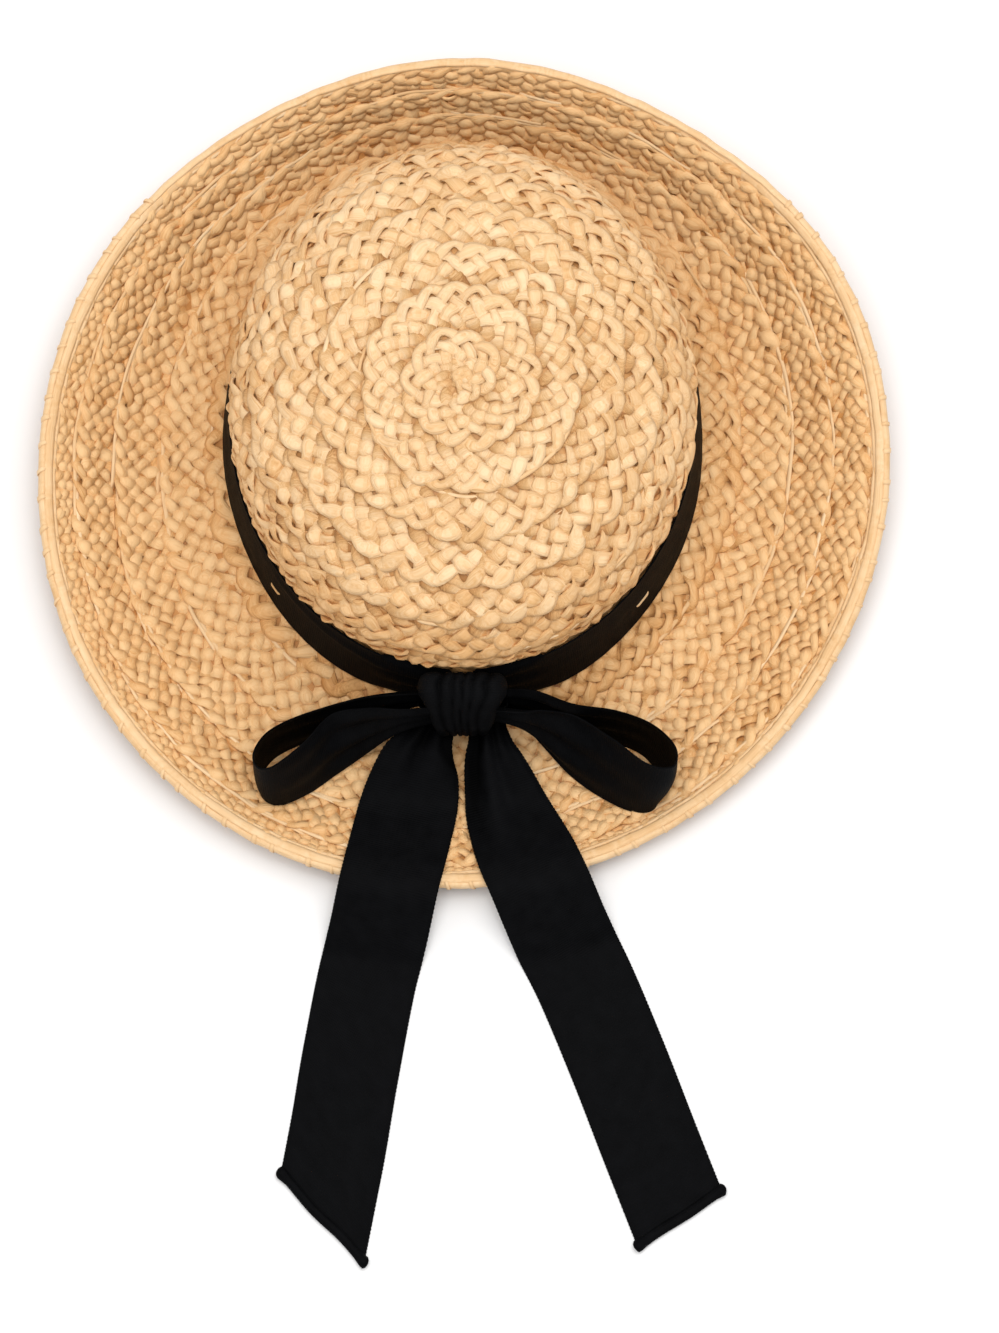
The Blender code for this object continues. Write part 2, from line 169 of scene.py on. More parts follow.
def add_mesh(name, points, faces, strand, tone, finish):
    """A smooth-shaded mesh from points (n, 3), faces (m, 4) and UVs for each face corner (m, 4, 2)."""
    mesh = bpy.data.meshes.new(name)
    mesh.vertices.add(len(points))
    mesh.vertices.foreach_set("co", np.asarray(points, np.float32).ravel())
    mesh.loops.add(faces.size)
    mesh.loops.foreach_set("vertex_index", faces.astype(np.int32).ravel())
    mesh.polygons.add(len(faces))
    mesh.polygons.foreach_set("loop_start", np.arange(0, faces.size, 4, dtype=np.int32))
    mesh.update(calc_edges=True)
    uv = mesh.uv_layers.new(name="strand")
    uv.data.foreach_set("uv", np.asarray(strand, np.float32).ravel())
    mesh.attributes.new("tone", "FLOAT", "POINT").data.foreach_set("value", np.asarray(tone, np.float32))
    mesh.shade_smooth()
    mesh.materials.append(finish)
    piece = add_object(name, mesh)
    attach(piece, "root")
    return piece


def tube_faces(count, sides, closed):
    """Faces (m, 4) over rings laid out one after another, and each corner's ring and side (m, 4, 2)."""
    rings = np.arange(count if closed else count - 1)
    ring, side = (grid.ravel() for grid in np.meshgrid(rings, np.arange(sides), indexing="ij"))
    steps = ((0, 0), (0, 1), (1, 1), (1, 0))
    corners = np.stack([np.stack([ring + on, side + round_it], -1) for on, round_it in steps], axis=1)
    return corners[..., 0] % count * sides + corners[..., 1] % sides, corners


print("the faces of a closed tube of 3 rings with 4 sides:", len(tube_faces(3, 4, True)[0]))


# %% Strands gathered for one mesh
class Bundle:
    """Strands gathered for one mesh, so that a thousand stitches are a single piece."""

    def __init__(self):
        self.points, self.faces, self.strand, self.tone, self.count = [], [], [], [], 0

    def add(self, rings, along, tone, closed=False, caps=True):
        """One strand: rings (n, sides, 3), the distance along it (n), its tone (n) or (n, sides)."""
        count, sides, _ = rings.shape
        faces, corners = tube_faces(count, sides, closed)
        step = along[-1] / max(count - 1, 1)
        uv = np.stack([np.append(along, along[-1] + step)[corners[..., 0]], corners[..., 1] / sides], -1)
        if caps and not closed:
            half = sides // 2
            near = np.array([(k, k + 1, sides - 2 - k, sides - 1 - k) for k in range(half - 1)])
            ends = np.concatenate([near, near[:, ::-1] + (count - 1) * sides])
            faces = np.concatenate([faces, ends])
            end_along = np.repeat([along[0], along[-1]], half - 1)[:, None] * np.ones(4)
            uv = np.concatenate([uv, np.stack([end_along, ends % sides / sides], -1)])
        self.points.append(rings.reshape(-1, 3))
        self.faces.append(faces + self.count)
        self.strand.append(uv)
        self.tone.append(np.broadcast_to(np.reshape(tone, (count, -1)), (count, sides)).ravel())
        self.count += count * sides

    def make(self, name, finish, node=None):
        """One piece of all its strands, which may stand for a CAD node; that node's part is then hidden."""
        arrays = [np.concatenate(part) for part in (self.points, self.faces, self.strand, self.tone)]
        piece = add_mesh(name, *arrays, finish)
        if node:
            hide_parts(node)
        print(f"{name}: {2 * len(piece.data.polygons)} triangles")
        return piece


# %% Rings round a line
def round_ring(sides):
    """The angle of each point round a strand, in which 0 is its edge."""
    return np.linspace(0, math.tau, sides, endpoint=False) + math.pi / sides


def strand_rings(line, up, half_width, half_height, sides=8, roll=0.0, closed=False):
    """Flattened rings round a line (n, 3). up (n, 3) is the way that the strand's flat side faces."""
    way = unit(ahead_of(line, closed))
    up = unit(up - way * (up * way).sum(-1, keepdims=True))
    side = np.cross(way, up)
    sizes = (half_width, half_height, roll)
    wide, high, roll = (np.broadcast_to(size, len(line))[:, None, None] for size in sizes)
    across = side[:, None] * np.cos(roll) + up[:, None] * np.sin(roll)
    over = up[:, None] * np.cos(roll) - side[:, None] * np.sin(roll)
    turn = round_ring(sides)[None, :, None]
    return line[:, None] + across * wide * np.cos(turn) + over * high * np.sin(turn)


print("the angles round a strand of eight sides, in degrees:", np.degrees(round_ring(8)))

# %% [markdown]
# ## Where the straw is
#
# The CAD crown and brim are smooth walls, and the plait has to follow them. Rays find them: from a point
# inside the crown outward through its wall, and down and up through the brim. The middle of the wall in
# each direction makes one line from the crown's top to the rim. A little smoothing takes out the flat
# facets and rounds the fold where crown and brim meet, as sewn straw is round there.

# %% Directions and rows
DIRECTIONS = 240
CROWN_ROWS = 10
BRIM_ROWS = 4
ROWS = CROWN_ROWS + BRIM_ROWS
# Where each row of the brim ends, as shares of the way from the fold to the rim
BRIM_ROW_ENDS = (0.0, 0.26, 0.52, 0.755, 0.965)
# The steps of the surface table along a row, and those of the lines that it is read from
ROW_STEPS = 20
LINE_STEP = 0.5 * MM
UP = Vector((0, 0, 1))
# Rays up or down on the brim start this far off, clear of the whole hat
CLEAR = 0.3


def tree_of(node):
    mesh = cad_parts[node].data
    return BVHTree.FromPolygons([v.co for v in mesh.vertices], [p.vertices for p in mesh.polygons])


trees = {node: tree_of(node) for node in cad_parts}
low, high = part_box("crown")
AXIS = Vector(((low.x + high.x) / 2, (low.y + high.y) / 2, 0))
AXIS_PLACE = np.array(AXIS)
print("the crown's axis in mm:", [round(value * 1000, 2) for value in AXIS])


# %% Rays through the walls
# The rays through the crown start at this height on the axis, and swing from straight up to just below level
RAY_HEIGHT = 34 * MM
RAY_SLOPES = np.radians(np.linspace(89.99, -13.5, 70))
# Below this height the crown's wall is led round the fold: how far out from its foot, and how high
CROWN_FOOT = 14.5 * MM
FOLD_PLACES = ((0.3 * MM, 10.2 * MM), (1.3 * MM, 8.8 * MM))
# From here outward the brim is read, first in long steps and at its edge in ever shorter ones
BRIM_START = 5 * MM
LONG_STEP, SHORT_STEP = 1.5 * MM, 0.02 * MM
# The brim's edge is round, so the last line inside it is led on to the edge, half a wall inside
ROUND_EDGE = 2.4 * MM
HALF_WALL = 1.25 * MM


def middle_of_wall(tree, start, way):
    """The place half-way through the first wall that a ray meets."""
    into = tree.ray_cast(start, way)[0]
    if into is None:
        return None
    out_of = tree.ray_cast(into + way * (0.2 * MM), way)[0]
    return into if out_of is None else (into + out_of) / 2


def brim_middle(out, reach):
    """The middle of the brim's wall, found from above and from below."""
    place = AXIS + out * reach
    top = trees["brim"].ray_cast(place + CLEAR * UP, -UP)[0]
    under = trees["brim"].ray_cast(place - CLEAR * UP, UP)[0]
    return None if top is None or under is None else (top.z + under.z) / 2


def wall_line(direction):
    """Reach from the axis and height (n, 2) down the crown and out along the brim, and the fold's index."""
    out = Vector((math.cos(direction), math.sin(direction), 0))
    line = []
    for slope in RAY_SLOPES:
        way = out * math.cos(slope) + UP * math.sin(slope)
        place = middle_of_wall(trees["crown"], AXIS + RAY_HEIGHT * UP, way)
        if place is not None and place.z > CROWN_FOOT:
            line.append((Vector((place.x - AXIS.x, place.y - AXIS.y)).length, place.z))
    foot = line[-1][0]
    line += [(foot + past, height) for past, height in FOLD_PLACES]
    fold = len(line) - 1
    reach = foot + BRIM_START
    step = LONG_STEP
    while step > SHORT_STEP:
        height = brim_middle(out, reach)
        if height is None:
            reach -= step
            step /= 2
        else:
            line.append((reach, height))
        reach += step
    edge = line[-1][0]
    line = np.array([row for k, row in enumerate(line) if k <= fold or row[0] < edge - ROUND_EDGE])
    slope = np.diff(line[-3:], axis=0).sum(0)
    slope /= np.linalg.norm(slope)
    left = (edge - HALF_WALL * slope[1] - line[-1][0]) / slope[0]
    return np.vstack([line, line[-1] + slope * left]), fold


bow_line, bow_fold = wall_line(FRONT * math.tau + 1e-4)
print("places found on the wall at the bow:", len(bow_line), "of which on the crown:", bow_fold)

# %% The lines made smooth
# Over how many steps each way a kink is rounded
SMOOTHING = 12


def smooth_line(line, fold):
    """The line with even steps and its kinks rounded, and the distance along it of the fold."""
    along = length_along(line)
    even = np.linspace(0, along[-1], int(along[-1] / LINE_STEP) + 1)
    fine = np.stack([np.interp(even, along, line[:, k]) for k in (0, 1)], 1)
    top = fine[1 : SMOOTHING + 1][::-1] * (-1, 1)
    rim = 2 * fine[-1] - fine[-SMOOTHING - 1 : -1][::-1]
    padded = np.vstack([top, fine, rim])
    weights = np.exp(-0.5 * (np.arange(-SMOOTHING, SMOOTHING + 1) / (SMOOTHING / 3)) ** 2)
    weights /= weights.sum()
    rounded = np.stack([np.convolve(padded[:, k], weights, "valid") for k in (0, 1)], 1)
    return rounded, along[fold]


bow_line, bow_fold = smooth_line(bow_line, bow_fold)
print(f"at the bow the wall runs {bow_fold / MM:.0f} mm down the crown", end=" ")
print(f"and {(length_along(bow_line)[-1] - bow_fold) / MM:.0f} mm out along the brim")


# %% The table of the hat's surface
def row_distance(rows, fold_at, rim_at):
    """How far along a wall line a number of rows of plait reaches."""
    on_crown = rows / CROWN_ROWS * fold_at
    share = np.interp(rows - CROWN_ROWS, np.arange(BRIM_ROWS + 1), BRIM_ROW_ENDS)
    past = np.maximum(rows - ROWS, 0) * (BRIM_ROW_ENDS[-1] - BRIM_ROW_ENDS[-2])
    return np.where(rows < CROWN_ROWS, on_crown, fold_at + (rim_at - fold_at) * (share + past))


# For every direction and every step of the rows: a place in the middle of the wall, and the way it faces.
# The table starts this many rows before the first, or this many steps
LEAD_ROWS = 1
LEAD = LEAD_ROWS * ROW_STEPS
table_rows = np.arange(-LEAD, (ROWS + 1) * ROW_STEPS + 1) / ROW_STEPS
surface = np.zeros((DIRECTIONS, len(table_rows), 3))
facing = np.zeros_like(surface)
rim_rows = np.zeros(DIRECTIONS)
for index in range(DIRECTIONS):
    direction = math.tau * index / DIRECTIONS
    # A little aside, so that no ray runs along an edge between two facets
    line, fold_at = smooth_line(*wall_line(direction + 1e-4))
    along = length_along(line)
    wanted = row_distance(table_rows, fold_at, along[-1])
    ahead = np.gradient(line, along, axis=0)
    reach, height = (np.interp(wanted, along, line[:, k]) for k in (0, 1))
    slope = unit(np.stack([np.interp(wanted, along, ahead[:, k]) for k in (0, 1)], 1))
    past = np.maximum(wanted - along[-1], 0)[:, None] * slope
    reach, height = reach + past[:, 0], height + past[:, 1]
    out = np.array([math.cos(direction), math.sin(direction), 0])
    surface[index] = out * reach[:, None] + height[:, None] * (0, 0, 1) + AXIS_PLACE
    facing[index] = -out * slope[:, 1:] + slope[:, :1] * (0, 0, 1)
    rim_rows[index] = np.interp(along[-1], wanted, table_rows)
# Rows before the first lie across the axis, on the opposite side.
for back in range(LEAD):
    mirrored = 2 * LEAD - back
    surface[:, back] = np.roll(surface[:, mirrored], DIRECTIONS // 2, axis=0)
    facing[:, back] = np.roll(facing[:, mirrored], DIRECTIONS // 2, axis=0)
print("rows to the rim, by direction:", rim_rows[:: DIRECTIONS // 4].round(2))


# %% Reading the table
def read_table(table, turns, rows):
    """A table's value between its directions and rows."""
    place = np.asarray(turns) % 1 * DIRECTIONS
    row = np.clip((np.asarray(rows) + LEAD_ROWS) * ROW_STEPS, 0, len(table_rows) - 1.001)
    here = np.floor(place).astype(int) % DIRECTIONS
    there = (here + 1) % DIRECTIONS
    inner = np.floor(row).astype(int)
    aside, on = (place % 1)[..., None], (row % 1)[..., None]
    first = table[here, inner] * (1 - on) + table[here, inner + 1] * on
    second = table[there, inner] * (1 - on) + table[there, inner + 1] * on
    return first * (1 - aside) + second * aside


def on_hat(turns, rows):
    """The middle of the straw wall at a number of turns and rows, and the way that it faces."""
    return read_table(surface, turns, rows), unit(read_table(facing, turns, rows))


def row_width(turns, rows):
    """How wide one row of plait is there."""
    inner, outer = on_hat(turns, rows - 0.25)[0], on_hat(turns, rows + 0.25)[0]
    return 2 * np.linalg.norm(outer - inner, axis=-1)


def rim_row_at(turns):
    """The row on which the rim lies."""
    place = np.asarray(turns) % 1 * DIRECTIONS
    return np.interp(place, np.arange(DIRECTIONS + 1), np.append(rim_rows, rim_rows[0]))


def turned_under(turns):
    """1 round the back, where the binding is turned under the last row, and 0 elsewhere."""
    return ease((0.17 - np.abs(np.asarray(turns) % 1 - BACK)) / 0.06)


front_rows = row_width(np.full(ROWS, FRONT), np.arange(ROWS) + 0.5)
print("row widths at the front in mm:", (front_rows / MM).round(1))

# %% [markdown]
# ## Raffia, as a material
#
# Raffia is a strip of palm leaf. Fine ribs run along it, no two strips are the same shade, and one strip
# is paler and darker along its length. One node group makes all of this from the strand map and the
# tone, so the plait, the binding and the stitches share it, each with values of its own. A painted warm
# tint on the crown grows towards the brim, for the light that comes off the straw around it.


# %% Node helpers
def new_fibre_group(name, values):
    """A group that draws fibres by the strand map and the tone, with further values by name."""
    group = bpy.data.node_groups.new(name, "ShaderNodeTree")
    group.interface.new_socket("Strand", in_out="INPUT", socket_type="NodeSocketVector")
    for value_name, value in {"Tone": 0.5, **values}.items():
        socket = group.interface.new_socket(value_name, in_out="INPUT", socket_type="NodeSocketFloat")
        socket.default_value = value
    for result, kind in (("Color", "Color"), ("Height", "Float"), ("Roughness", "Float")):
        group.interface.new_socket(result, in_out="OUTPUT", socket_type="NodeSocket" + kind)
    return group, group.nodes.new("NodeGroupInput").outputs, group.nodes.new("NodeGroupOutput").inputs


def add_node(tree, kind, links=(), **settings):
    """A node with its settings, and its inputs linked or given a value by name or number."""
    node = tree.nodes.new(kind)
    for name, value in settings.items():
        setattr(node, name, value)
    for socket, value in dict(links).items():
        if isinstance(value, bpy.types.NodeSocket):
            tree.links.new(value, node.inputs[socket])
        else:
            node.inputs[socket].default_value = value
    return node


def math_node(tree, operation, first, second, third=0.0):
    return add_node(tree, "ShaderNodeMath", {0: first, 1: second, 2: third}, operation=operation).outputs[0]


def noise_node(tree, place, detail):
    noise = {"Vector": place, "Scale": 1.0, "Detail": detail}
    return add_node(tree, "ShaderNodeTexNoise", noise).outputs[0]


print("node groups made so far:", len(bpy.data.node_groups))


# %% Material helpers
def new_material(name):
    """A material, its tree and its Principled shader."""
    made = bpy.data.materials.new(name)
    made.use_nodes = True
    return made, made.node_tree, made.node_tree.nodes["Principled BSDF"]


def fibre_material(name, group, values, strength, depth):
    """A material with a fibre group's colour, roughness and relief, and its Principled shader."""
    made, tree, shader = new_material(name)
    given = {
        "Strand": add_node(tree, "ShaderNodeUVMap", uv_map="strand").outputs[0],
        "Tone": add_node(tree, "ShaderNodeAttribute", attribute_name="tone").outputs["Fac"],
    }
    fibres = add_node(tree, "ShaderNodeGroup", {**given, **values}, node_tree=group).outputs
    bump = {"Strength": strength, "Distance": depth, "Height": fibres["Height"]}
    relief = add_node(tree, "ShaderNodeBump", bump)
    tree.links.new(fibres["Color"], shader.inputs["Base Color"])
    tree.links.new(fibres["Roughness"], shader.inputs["Roughness"])
    tree.links.new(relief.outputs["Normal"], shader.inputs["Normal"])
    return made, shader


print("materials made so far:", len(bpy.data.materials))

# %% The raffia group
# From the darkest straw to the lightest, and the painted warm tint for light bounced off the straw around
STRAW_COLOURS = (
    (0.32, 0.135, 0.036),
    (0.53, 0.275, 0.098),
    (0.70, 0.415, 0.180),
    (0.79, 0.525, 0.278),
    (0.85, 0.620, 0.370),
)
BOUNCE_TINT = (1.0, 0.88, 0.72, 1.0)


def ramp_node(tree, lightness, colours, first=0.0, last=1.0):
    """A colour for each lightness, from colours spaced evenly between the first and last place."""
    ramp = add_node(tree, "ShaderNodeValToRGB", {0: lightness})
    stops = ramp.color_ramp.elements
    while len(stops) < len(colours):
        stops.new(0.5)
    for stop, place, colour in zip(stops, np.linspace(first, last, len(colours)), colours):
        stop.position = place
        stop.color = (*colour, 1)
    return ramp.outputs[0]


def make_raffia_group():
    values = {"Fibres Across": 34.0, "Fibres Along": 120.0, "Mottle": 0.3, "Warmth": 0.0}
    group, given, made = new_fibre_group("raffia fibres", values)
    place = add_node(group, "ShaderNodeSeparateXYZ", {0: given["Strand"]}).outputs
    # Each tone gets streaks of its own, so two strips side by side never match.
    fine = {
        0: math_node(group, "MULTIPLY", place[0], given["Fibres Along"]),
        1: math_node(group, "MULTIPLY", place[1], given["Fibres Across"]),
        2: math_node(group, "MULTIPLY", given["Tone"], 60.0),
    }
    fine = add_node(group, "ShaderNodeCombineXYZ", fine).outputs[0]
    broad = add_node(group, "ShaderNodeVectorMath", {0: fine, 1: (0.35, 0.12, 1.0)}, operation="MULTIPLY")
    streak, patch = noise_node(group, fine, 3.0), noise_node(group, broad.outputs[0], 2.0)
    lightness = given["Tone"]
    for noise, share in ((streak, 1.0), (patch, 1.6)):
        size = math_node(group, "MULTIPLY", given["Mottle"], share)
        part = math_node(group, "MULTIPLY", math_node(group, "SUBTRACT", noise, 0.5), size)
        lightness = math_node(group, "ADD", lightness, part)
    warm = add_node(group, "ShaderNodeMix", {0: given["Warmth"]}, data_type="RGBA", blend_type="MULTIPLY")
    group.links.new(ramp_node(group, lightness, STRAW_COLOURS), warm.inputs[6])
    warm.inputs[7].default_value = BOUNCE_TINT
    group.links.new(warm.outputs[2], made["Color"])
    group.links.new(math_node(group, "MULTIPLY_ADD", patch, 0.6, streak), made["Height"])
    group.links.new(math_node(group, "MULTIPLY_ADD", streak, 0.24, 0.44), made["Roughness"])
    return group


raffia_fibres = make_raffia_group()
print("raffia group sockets:", [item.name for item in raffia_fibres.interface.items_tree])


# %% The raffia materials
# The crown's painted warm bounce tint is full below the first height and gone above the second
WARM_BELOW, COOL_ABOVE = 35 * MM, 100 * MM


def raffia_material(name, across, along, mottle, depth, warmth=0.0):
    """A finish of raffia with so many fibres across and along it, and a relief of so many metres."""
    values = {"Fibres Across": across, "Fibres Along": along, "Mottle": mottle, "Warmth": warmth}
    made, shader = fibre_material(name, raffia_fibres, values, 0.8, depth)
    shader.inputs["Specular IOR Level"].default_value = 0.35
    return made


plaited_raffia = raffia_material("plaited raffia", 26.0, 110.0, 0.52, 0.45 * MM)
# The brim's straw has the painted warm bounce tint all over
brim_raffia = raffia_material("brim raffia", 22.0, 110.0, 0.52, 0.40 * MM, warmth=1.0)
smooth_raffia = raffia_material("smooth raffia", 22.0, 40.0, 0.30, 0.25 * MM)
thread_raffia = raffia_material("raffia thread", 10.0, 150.0, 0.25, 0.15 * MM)
tree = plaited_raffia.node_tree
place = add_node(tree, "ShaderNodeTexCoord").outputs["Object"]
height = add_node(tree, "ShaderNodeSeparateXYZ", {0: place}).outputs[2]
fade = {0: height, 1: WARM_BELOW, 2: COOL_ABOVE, 3: 1.0, 4: 0.0}
fade = add_node(tree, "ShaderNodeMapRange", fade).outputs[0]
tree.links.new(fade, tree.nodes["Group"].inputs["Warmth"])
print("raffia materials:", [made.name for made in bpy.data.materials if "raffia" in made.name])

# %% [markdown]
# ## The plait
#
# It is a flat plait, of five strands on the crown and of seven finer ones on the brim: each strand runs
# slantwise to one edge, turns round it and runs back, and on the way it goes over one strand and under the
# next. Seen from above, a strand shows only where it is on top, as a puffed leaf, and the leaves stand in
# chevrons. The plait is sewn in a spiral, and the outer edge of each row lies over the inner edge of the
# next. Behind the crown, where the brim turns up, its leaves are longer.
#
# It could be a flat texture with a bump, but then the rim, the shadows and the look from the side would
# give it away. So every strand is a real tube that is led over the surface. Its width swells where it
# lies on top or below, and draws in where it passes between.

# %% Sizes of the plait
# Heights and steps are in metres, and the two painted shades are how much darker a strand is painted
# where it dips and where it is tucked under the row before. Each line of rows says: the row of plait, how
# far apart leaves are along it in mm, how far the strands' middle lines swing past the edge of the row in
# mm, and how much of the room between its neighbours each one fills.
CROWN_PLAIT = {
    "strands": 5,
    "sides": 8,
    "height": 1.5 * MM,
    "over_under": 0.60 * MM,
    "dip_painted_shade": 0.22,
    "tucked_painted_shade": 0.42,
    "looser_behind": 0.0,
    "step": 1.05 * MM,
    "rows": (
        (0.0, 6.0, -0.6, 1.17),
        (1.5, 7.2, -0.4, 1.17),
        (4.0, 9.2, -0.1, 1.21),
        (6.0, 10.0, 0.1, 1.21),
        (10.0, 10.0, 0.1, 1.21),
    ),
}
BRIM_PLAIT = {
    "strands": 7,
    "sides": 6,
    "height": 1.4 * MM,
    "over_under": 0.58 * MM,
    "dip_painted_shade": 0.40,
    "tucked_painted_shade": 0.24,
    "looser_behind": 0.40,
    "step": 0.95 * MM,
    "rows": ((10.0, 7.2, 0.2, 1.32), (14.0, 6.8, 0.2, 1.32)),
}
# The usual length of a leaf, and how much the outer edge of a row is raised over the inner edge of the next
LEAF_PITCH = 8.8 * MM
ROW_TILT = 0.95 * MM
# The row and the direction in which the spiral starts, over how many turns it comes up out of the middle of
# the crown, and from how deep
FIRST_ROW = -0.30
FIRST_TURN = 0.42
START_TURNS = 0.45
START_DEPTH = 1.9 * MM
# Over how many turns the plait tapers off at the rim
LAST_TAPER = 0.85
TURN_STEPS = 1440
turns_to_rim = ROWS - 0.5 - FIRST_ROW


def leaf_values(plait, rows, turns):
    """The pitch, the swing past the row's edge and the fill of a plait's leaves on each row."""
    at, pitch, past, fill = np.array(plait["rows"]).T
    round_the_back = ease((0.22 - np.abs(turns % 1 - BACK)) / 0.12)
    pitch = np.interp(rows, at, pitch) * (1 + plait["looser_behind"] * round_the_back)
    return pitch * MM, np.interp(rows, at, past) * MM, np.interp(rows, at, fill)


def plait_row(turned):
    """The row that the middle of the plait is on after so many turns, and its width as a share."""
    past = np.maximum(turned - turns_to_rim, 0)
    share = 1 - past
    return np.where(past > 0, ROWS - 0.5 * share, FIRST_ROW + turned), share


brim_pitches, _, _ = leaf_values(BRIM_PLAIT, CROWN_ROWS + 1, np.array([FRONT, BACK]))
print("leaves of the brim are so far apart in mm, in front and behind:", (brim_pitches / MM).round(1))

# %% The way of the plait
fine_turns = np.arange(0, turns_to_rim + LAST_TAPER, 1 / TURN_STEPS)
fine_rows, _ = plait_row(fine_turns)
# Near the middle the plait is led by its outer part, or its leaves would spread like a fan there.
plait_middle, _ = on_hat(FIRST_TURN + fine_turns, np.maximum(fine_rows, 0.5))
plait_distance = length_along(plait_middle)


def plait_phases(plait):
    """The phase all along the plait: 2 is the way across it and back, while every strand goes over once."""
    pitch, _, _ = leaf_values(plait, fine_rows, FIRST_TURN + fine_turns)
    return np.concatenate([[0], np.cumsum(np.diff(plait_distance) / (plait["strands"] * pitch[1:] / 2))])


print(f"the plait is {plait_distance[-1]:.2f} m long in {fine_turns[-1]:.1f} turns")


# %% How a strand runs
# Where the ribbon presses on the crown: its lower and upper edge, and a reach that takes in no brim
BAND_FOOT, BAND_TOP, BAND_REACH = 7 * MM, 50 * MM, 104 * MM
# 1 would be a sharp turn at the edge of the plait
TURN_SHARPNESS = 0.965


def edge_tones(sides):
    """The edges of a strip are folded in, and less light gets there."""
    return -0.10 * np.cos(round_ring(sides))[None, :] ** 2


def across_plait(phase):
    """How far a strand is across, -1 to 1. A phase of 2 is there and back, with rounded turns."""
    return np.arcsin(TURN_SHARPNESS * np.sin((phase - 0.5) * math.pi)) / math.asin(TURN_SHARPNESS)


def over_and_under(phase, strands):
    """1 where a strand is on top and -1 where it is below, as it meets each of the other strands in turn."""
    aims = np.array([0] + [1, -1] * (strands // 2) + [0, 0])
    place = phase % 1 * strands
    index = np.floor(place).astype(int)
    part = place - index
    eased = (1 - np.cos(math.pi * part)) / 2
    eased = np.where(index == 0, np.sin(math.pi / 2 * part), eased)
    eased = np.where(index == strands - 1, 1 - np.cos(math.pi / 2 * part), eased)
    return aims[index] * (1 - eased) + aims[index + 1] * eased


def pressed_under_band(place):
    """1 where the ribbon round the crown presses on the plait, 0 elsewhere."""
    height = place[:, 2]
    pressed = ease((BAND_TOP - height) / (5 * MM)) * ease((height - BAND_FOOT) / (3 * MM))
    return np.where(np.linalg.norm((place - AXIS_PLACE)[:, :2], axis=1) < BAND_REACH, pressed, 0)


print("a strand of five at its crossings:", over_and_under(np.arange(5) / 5, 5))

# %% One strand of the plait
# How much broader a leaf is where it comes up than where it goes down, and how far it is rolled on its side
LEAF_LEAN = 0.12
SHINGLE = 0.22
# No leaf goes lower than this, since those under the brim are pressed flat where the hat rests
PRESSED_FLAT = 0.1 * MM
# Under the ribbon the plait lies this much deeper, and no leaf stands higher off the middle of the wall
DEEPER_UNDER_BAND = 0.4 * MM
HIGHEST_UNDER_BAND = 0.3 * MM
# How many rows short of the rim the strands stop, and how much nearer to it they come round the back
SHORT_OF_RIM, NEARER_BEHIND = 0.15, 0.10
# Painted light and shade: how much lighter the brim is painted, and how much darker the front of the crown,
# which faces away from the light
BRIM_PAINTED_LIGHT = 0.13
FRONT_PAINTED_SHADE = 0.13
# How much less painted shade the dips get behind the crown, where crown and rim light each other
GLOW_BEHIND = 0.85


